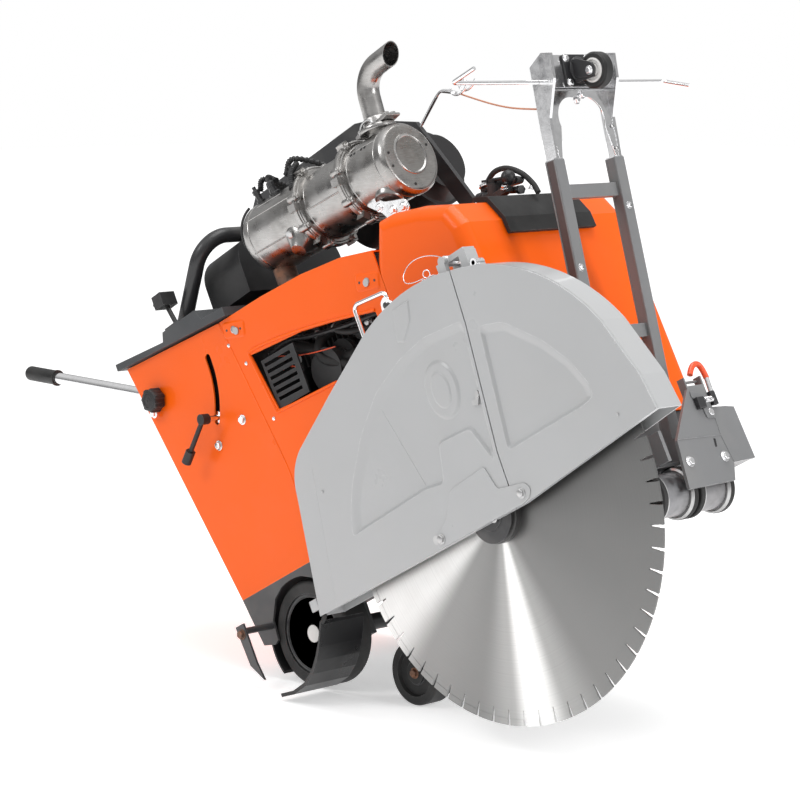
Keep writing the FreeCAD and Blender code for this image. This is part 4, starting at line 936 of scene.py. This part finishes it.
# -------------------- water valve group on the bonnet
turned_piece("valve_ball", [(0.01, -17), (8, -15), (14.5, -9), (17, 0), (14.5, 9), (8, 15), (0.01, 17)],
    (860, -24, 759), SIDE_OUT, "valve_lever", "black_plastic", steps=36)
swept("bonnet_hose", [(736, 20, 770), (757, 20, 794), (790, 20, 806), (830, 18, 795), (868, 14, 764),
    (892, 10, 728), (902, 6, 700)], "chassis", "rubber", 6.5)
fittings = [lathe([(11, 0), (11, 10), (8, 11), (8, 26), (12, 27), (12, 40), (7, 41), (7, 58), (0.01, 58)],
    (742, 12, 745), (0.35, -0.1, 0.93), 6), lathe([(14, 0), (14, 18), (9, 20), (9, 42), (13, 43), (13, 60),
    (0.01, 60)], (752, -20, 756), (1, -0.05, -0.2), 24), lathe([(9, 0), (9, 30), (11, 31), (11, 42),
    (0.01, 42)], (836, -2, 738), (0.9, -0.2, -0.4), 6)]
piece("valve_fittings", join(fittings), "chassis", "dark_paint", bevel=0.8)
bolts_piece("valve_nuts", [((770, -12, 778), (0, 0, 1), 8, 9), ((812, 8, 764), (0, 0.2, 1), 9, 12),
    ((848, -34, 738), (0.5, -0.4, 0.8), 7, 8), ((886, 8, 716), (0.6, 0, 0.8), 6, 8)], "chassis", "chrome")
piece("valve_plate", slab(rounded([(770, 764), (862, 742), (872, 752), (848, 768), (786, 778)], 6), -6, 22),
    "chassis", "engine_alloy", bevel=1.4)

# -------------------- wheels
FRONT_AXLE_X = 233
FRONT_AXLE_Z = -183
RUNNING = {"rear_wheel_right": -1, "rear_wheel_left": 1}
for wheel, side in RUNNING.items():
    turned_piece(f"{wheel}_cap", [(23, -8), (23, -2), (20, 1.6), (10, 3.2), (0.01, 3.6)], (0, side * 256, 0),
        (0, side, 0), wheel, "pale_plastic", steps=48)
    spots = []
    for step in range(4):
        angle = 2 * pi * step / 4 + radians(21)
        spots.append(((60 * cos(angle), side * 230, 60 * sin(angle)), (0, side, 0), 7.5, 9))
    bolts_piece(f"{wheel}_bolts", spots, wheel, "chrome")
    turned_piece(f"{wheel}_rim_lip", [(93, -1), (92, 1.4), (89, 1.8), (87, -1)], (0, side * 257.4, 0),
        (0, side, 0), wheel, "dark_paint", steps=72)
for word, side in (("right", -1), ("left", 1)):
    wheel = f"front_wheel_{word}"
    bolts_piece(f"{wheel}_nut", [((FRONT_AXLE_X, side * 209, FRONT_AXLE_Z), (0, side, 0), 9, 9)], wheel,
        "burnt_steel")
    turned_piece(f"{wheel}_hub_ring", [(30, 0), (29, 2.4), (20, 3.4), (14, 3), (13, 0)],
        (FRONT_AXLE_X, side * 202, FRONT_AXLE_Z), (0, side, 0), wheel, "dark_paint", steps=48)
bolts_piece("rear_pointer_bolt", [((-117, -366.4, 56), SIDE_OUT, 9, 10)], "rear_pointer", "burnt_steel")

# -------------------- blade arbor
ARBOR_FACE = (813, -398, 9)
turned_piece("outer_flange_face", [(60, -2), (60, 1), (57, 2.6), (34, 3.2), (33, 5.4), (16, 6), (15, 2),
    (0.01, 2)], ARBOR_FACE, SIDE_OUT, "spindle", "dark_paint", steps=72)
turned_piece("arbor_bolt", [(11.6, 0), (11.6, 6.4), (10, 7.4), (0.01, 7.4)], ARBOR_FACE, SIDE_OUT, "spindle",
    "dark_paint", steps=6, bevel=0.6)

# -------------------- nose bracket
NOSE_OUT = (1, 0, 0)
NOSE_FACE = 1054.2
ROLLER_X = 983
ROLLER_Z = -56
bolts_piece("nose_bolts", [((NOSE_FACE, y, z), NOSE_OUT, 8.5, 8) for y, z in ((-18, -9), (98, -10),
    (103, 92))], "chassis", "chrome")
smooth_curve("nose_fold", [(NOSE_FACE, -31, 43), (NOSE_FACE, 112, 38)], 1.2, "chassis", "frame_grey", order=2)
smooth_curve("nose_fold_side", [(NOSE_FACE, 116, 104), (NOSE_FACE, 112, 38), (NOSE_FACE, 122, -24)], 1.2,
    "chassis", "frame_grey", order=2)
nose_slot = rounded([(80, 14), (86, 14), (90, 32), (84, 34)], 2)
# painted shade: a dark patch where the nose plate's slot is
piece("nose_slot_shade", slab(nose_slot, NOSE_FACE - 0.5, 1.0, plane="YZ"), "chassis", "black_and_painted_shade")
latch_blocks = [((1054, 66, 102), (1066, 90, 128)), ((1054, 118, 106), (1064, 134, 138))]
piece("nose_latch_blocks", join([box_part(low, high) for low, high in latch_blocks]), "chassis", "dark_paint",
    bevel=1.6)
piece("nose_latch_plate", slab(rounded([(88, 80), (116, 78), (112, 132), (64, 146), (62, 132), (84, 112)], 4),
    1054, 3, plane="YZ"), "chassis", "frame_grey", bevel=0.6)
spring = [(1061 + 6.5 * cos(2 * pi * k / 8), 91 + k * 27 / 48, 120 + 6.5 * sin(2 * pi * k / 8))
    for k in range(49)]
smooth_curve("nose_spring", spring, 1.3, "chassis", "chrome")
smooth_curve("nose_latch_stem", [(1056, 130, 124), (1056, 133, 150), (1055, 135, 182)], 5.5, "nose_latch",
    "chrome")
latch_grip = smooth_curve("nose_latch_handle", [(1055, 135, 170), (1053, 135, 202), (1051, 122, 212),
    (1049, 104, 200), (1048, 94, 184)], 6.5, "nose_latch", "red_plastic")
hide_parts("nose_latch")
gusset = rounded([(908, 24), (966, 14), (960, 64), (914, 78)], 6)
piece("ladder_gusset", slab(gusset, -134, 7), "chassis", "dark_paint", bevel=1.0)
bolts_piece("ladder_gusset_bolts", [((936, -134, 45), SIDE_OUT, 11, 10), ((960, -128, 6), SIDE_OUT, 8, 8)],
    "chassis", "chrome")
for word, side in (("right", -1), ("left", 1)):
    drums = [lathe([(46.6, 0), (47.4, 1), (47.4, 69), (46.6, 70)], (ROLLER_X, side * 26, ROLLER_Z),
        (0, side, 0), 64)]
    piece(f"nose_drum_{word}", join(drums), f"nose_roller_{word}", "roller_steel")
    cheeks = [lathe([(11, 0), (55, 0), (57, 2), (57, 13), (52, 17), (50, 14), (11, 14)],
        (ROLLER_X, side * at, ROLLER_Z), (0, side, 0), 64) for at in (4.5, 103)]
    piece(f"nose_flanges_{word}", join(cheeks), f"nose_roller_{word}", "rubber", bevel=0.6)

# -------------------- pointer ladder and head (drawn on the leaning frame)
rails = []
lips = []
for low_y in (-112, 84):
    rails.append(box_part((-10.5, low_y - 0.7, -6), (10.5, low_y + 0.3, 668)))
    lips += [box_part((-14, low_y - 2.4, -18), (-10.5, low_y + 0.2, 668)),
             box_part((10.5, low_y - 2.4, -18), (14, low_y + 0.2, 668))]
piece("rail_webs", join(rails), "pointer", "channel_shade", place=LADDER)
piece("rail_lips", join(lips), "pointer", "frame_grey", bevel=0.6, place=LADDER)
web = trace([(-98, 672), (-86, 672), (-70, 742), (-62, 790, -30, 806), (30, 806), (62, 790, 72, 742),
    (88, 672), (98, 672), (98, 893), (-98, 893)])
piece("head_web", slab(web, 12, 3, plane="YZ"), "pointer", "chrome", bevel=0.8, place=LADDER)
legs = [box_part((-13, y, 672), (15, y + 3, 880)) for y in (-101, 98)]
piece("head_leg_webs", join(legs), "pointer", "chrome", bevel=0.8, place=LADDER)
bolts_piece("head_bolts", [((15, y, z), NOSE_OUT, 7, 7) for y, z in ((-6, 800), (14, 812))], "pointer",
    "chrome", place=LADDER)
bolts_piece("leg_bolts", [((15.5, 92, z), NOSE_OUT, 4.5, 4, False) for z in (690, 740)], "pointer",
    "bare_steel", place=LADDER)
plate = rounded([(-44, 826), (44, 826), (44, 898), (-44, 898)], 7)
piece("caster_plate", slab(plate, 28.4, 5, plane="YZ"), "pointer", "dark_paint", bevel=0.8, place=LADDER)
bolts_piece("caster_plate_bolts", [((33.2, y, z), NOSE_OUT, 6.5, 6) for y in (-34, 34) for z in (835, 889)],
    "pointer", "chrome", place=LADDER)
fork = []
for low_y, thick in ((-23.5, 4.5), (19, 4.5)):
    cheek = rounded([(36, 884), (52, 884), (96, 862), (100, 848), (94, 836), (78, 834), (46, 842), (36, 850)],
        9)
    fork.append(slab(cheek, low_y, thick))
piece("caster_fork_cheeks", join(fork), "caster_fork", "dark_paint", bevel=1.2, place=LADDER)
turned_piece("caster_ball_race", [(30, -2), (30, 3), (26, 6), (18, 8), (0.01, 9)], (34, 0, 862), NOSE_OUT,
    "caster_fork", "dark_paint", steps=48, place=LADDER)
CASTER_X = 84.4
CASTER_Z = 848
for word, side in (("right", -1), ("left", 1)):
    turned_piece(f"caster_hub_{word}", [(27, 0), (27, 1.5), (23, 2.5), (21, 0.4), (15, 0.4), (13, 3),
        (0.01, 3.4)], (CASTER_X, side * 12.6, CASTER_Z), (0, side, 0), "caster_wheel", "pale_plastic",
        steps=48, place=LADDER)
    bolts_piece(f"caster_nut_{word}", [((CASTER_X, side * 23.4, CASTER_Z), (0, side, 0), 7, 7)],
        "caster_fork", "chrome", place=LADDER)
rail_bolts = [((14.2, y, z), NOSE_OUT, 6, 5) for y, z in ((-98, 430), (98, 560))]
bolts_piece("rail_bolts", rail_bolts, "pointer", "chrome", place=LADDER)

# -------------------- tether cord
CORD_ROUTE = [(792, -2, 1004), (862, -24, 950), (930, -48, 902), (1000, -76, 859), (1072, -101, 821.5)]
cord_points = [TILT @ (Vector(p) * MM) for p in CORD_ROUTE]
cord_data = bpy.data.curves.new("tether", "CURVE")
cord_data.dimensions = "3D"
cord_spline = cord_data.splines.new("NURBS")
cord_spline.points.add(len(cord_points) - 1)
for target, point in zip(cord_spline.points, cord_points):
    target.co = (*point, 1)
cord_spline.order_u = 3
cord_spline.use_endpoint_u = True
cord_spline.resolution_u = 12
cord_data.bevel_depth = 2 * MM
cord_data.bevel_resolution = 4
cord_data.use_fill_caps = True
cord = bpy.data.objects.new("tether", cord_data)
finish_piece(cord, "pointer", "cord_fibre", place=Matrix.Identity(4))
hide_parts("tether_cord")
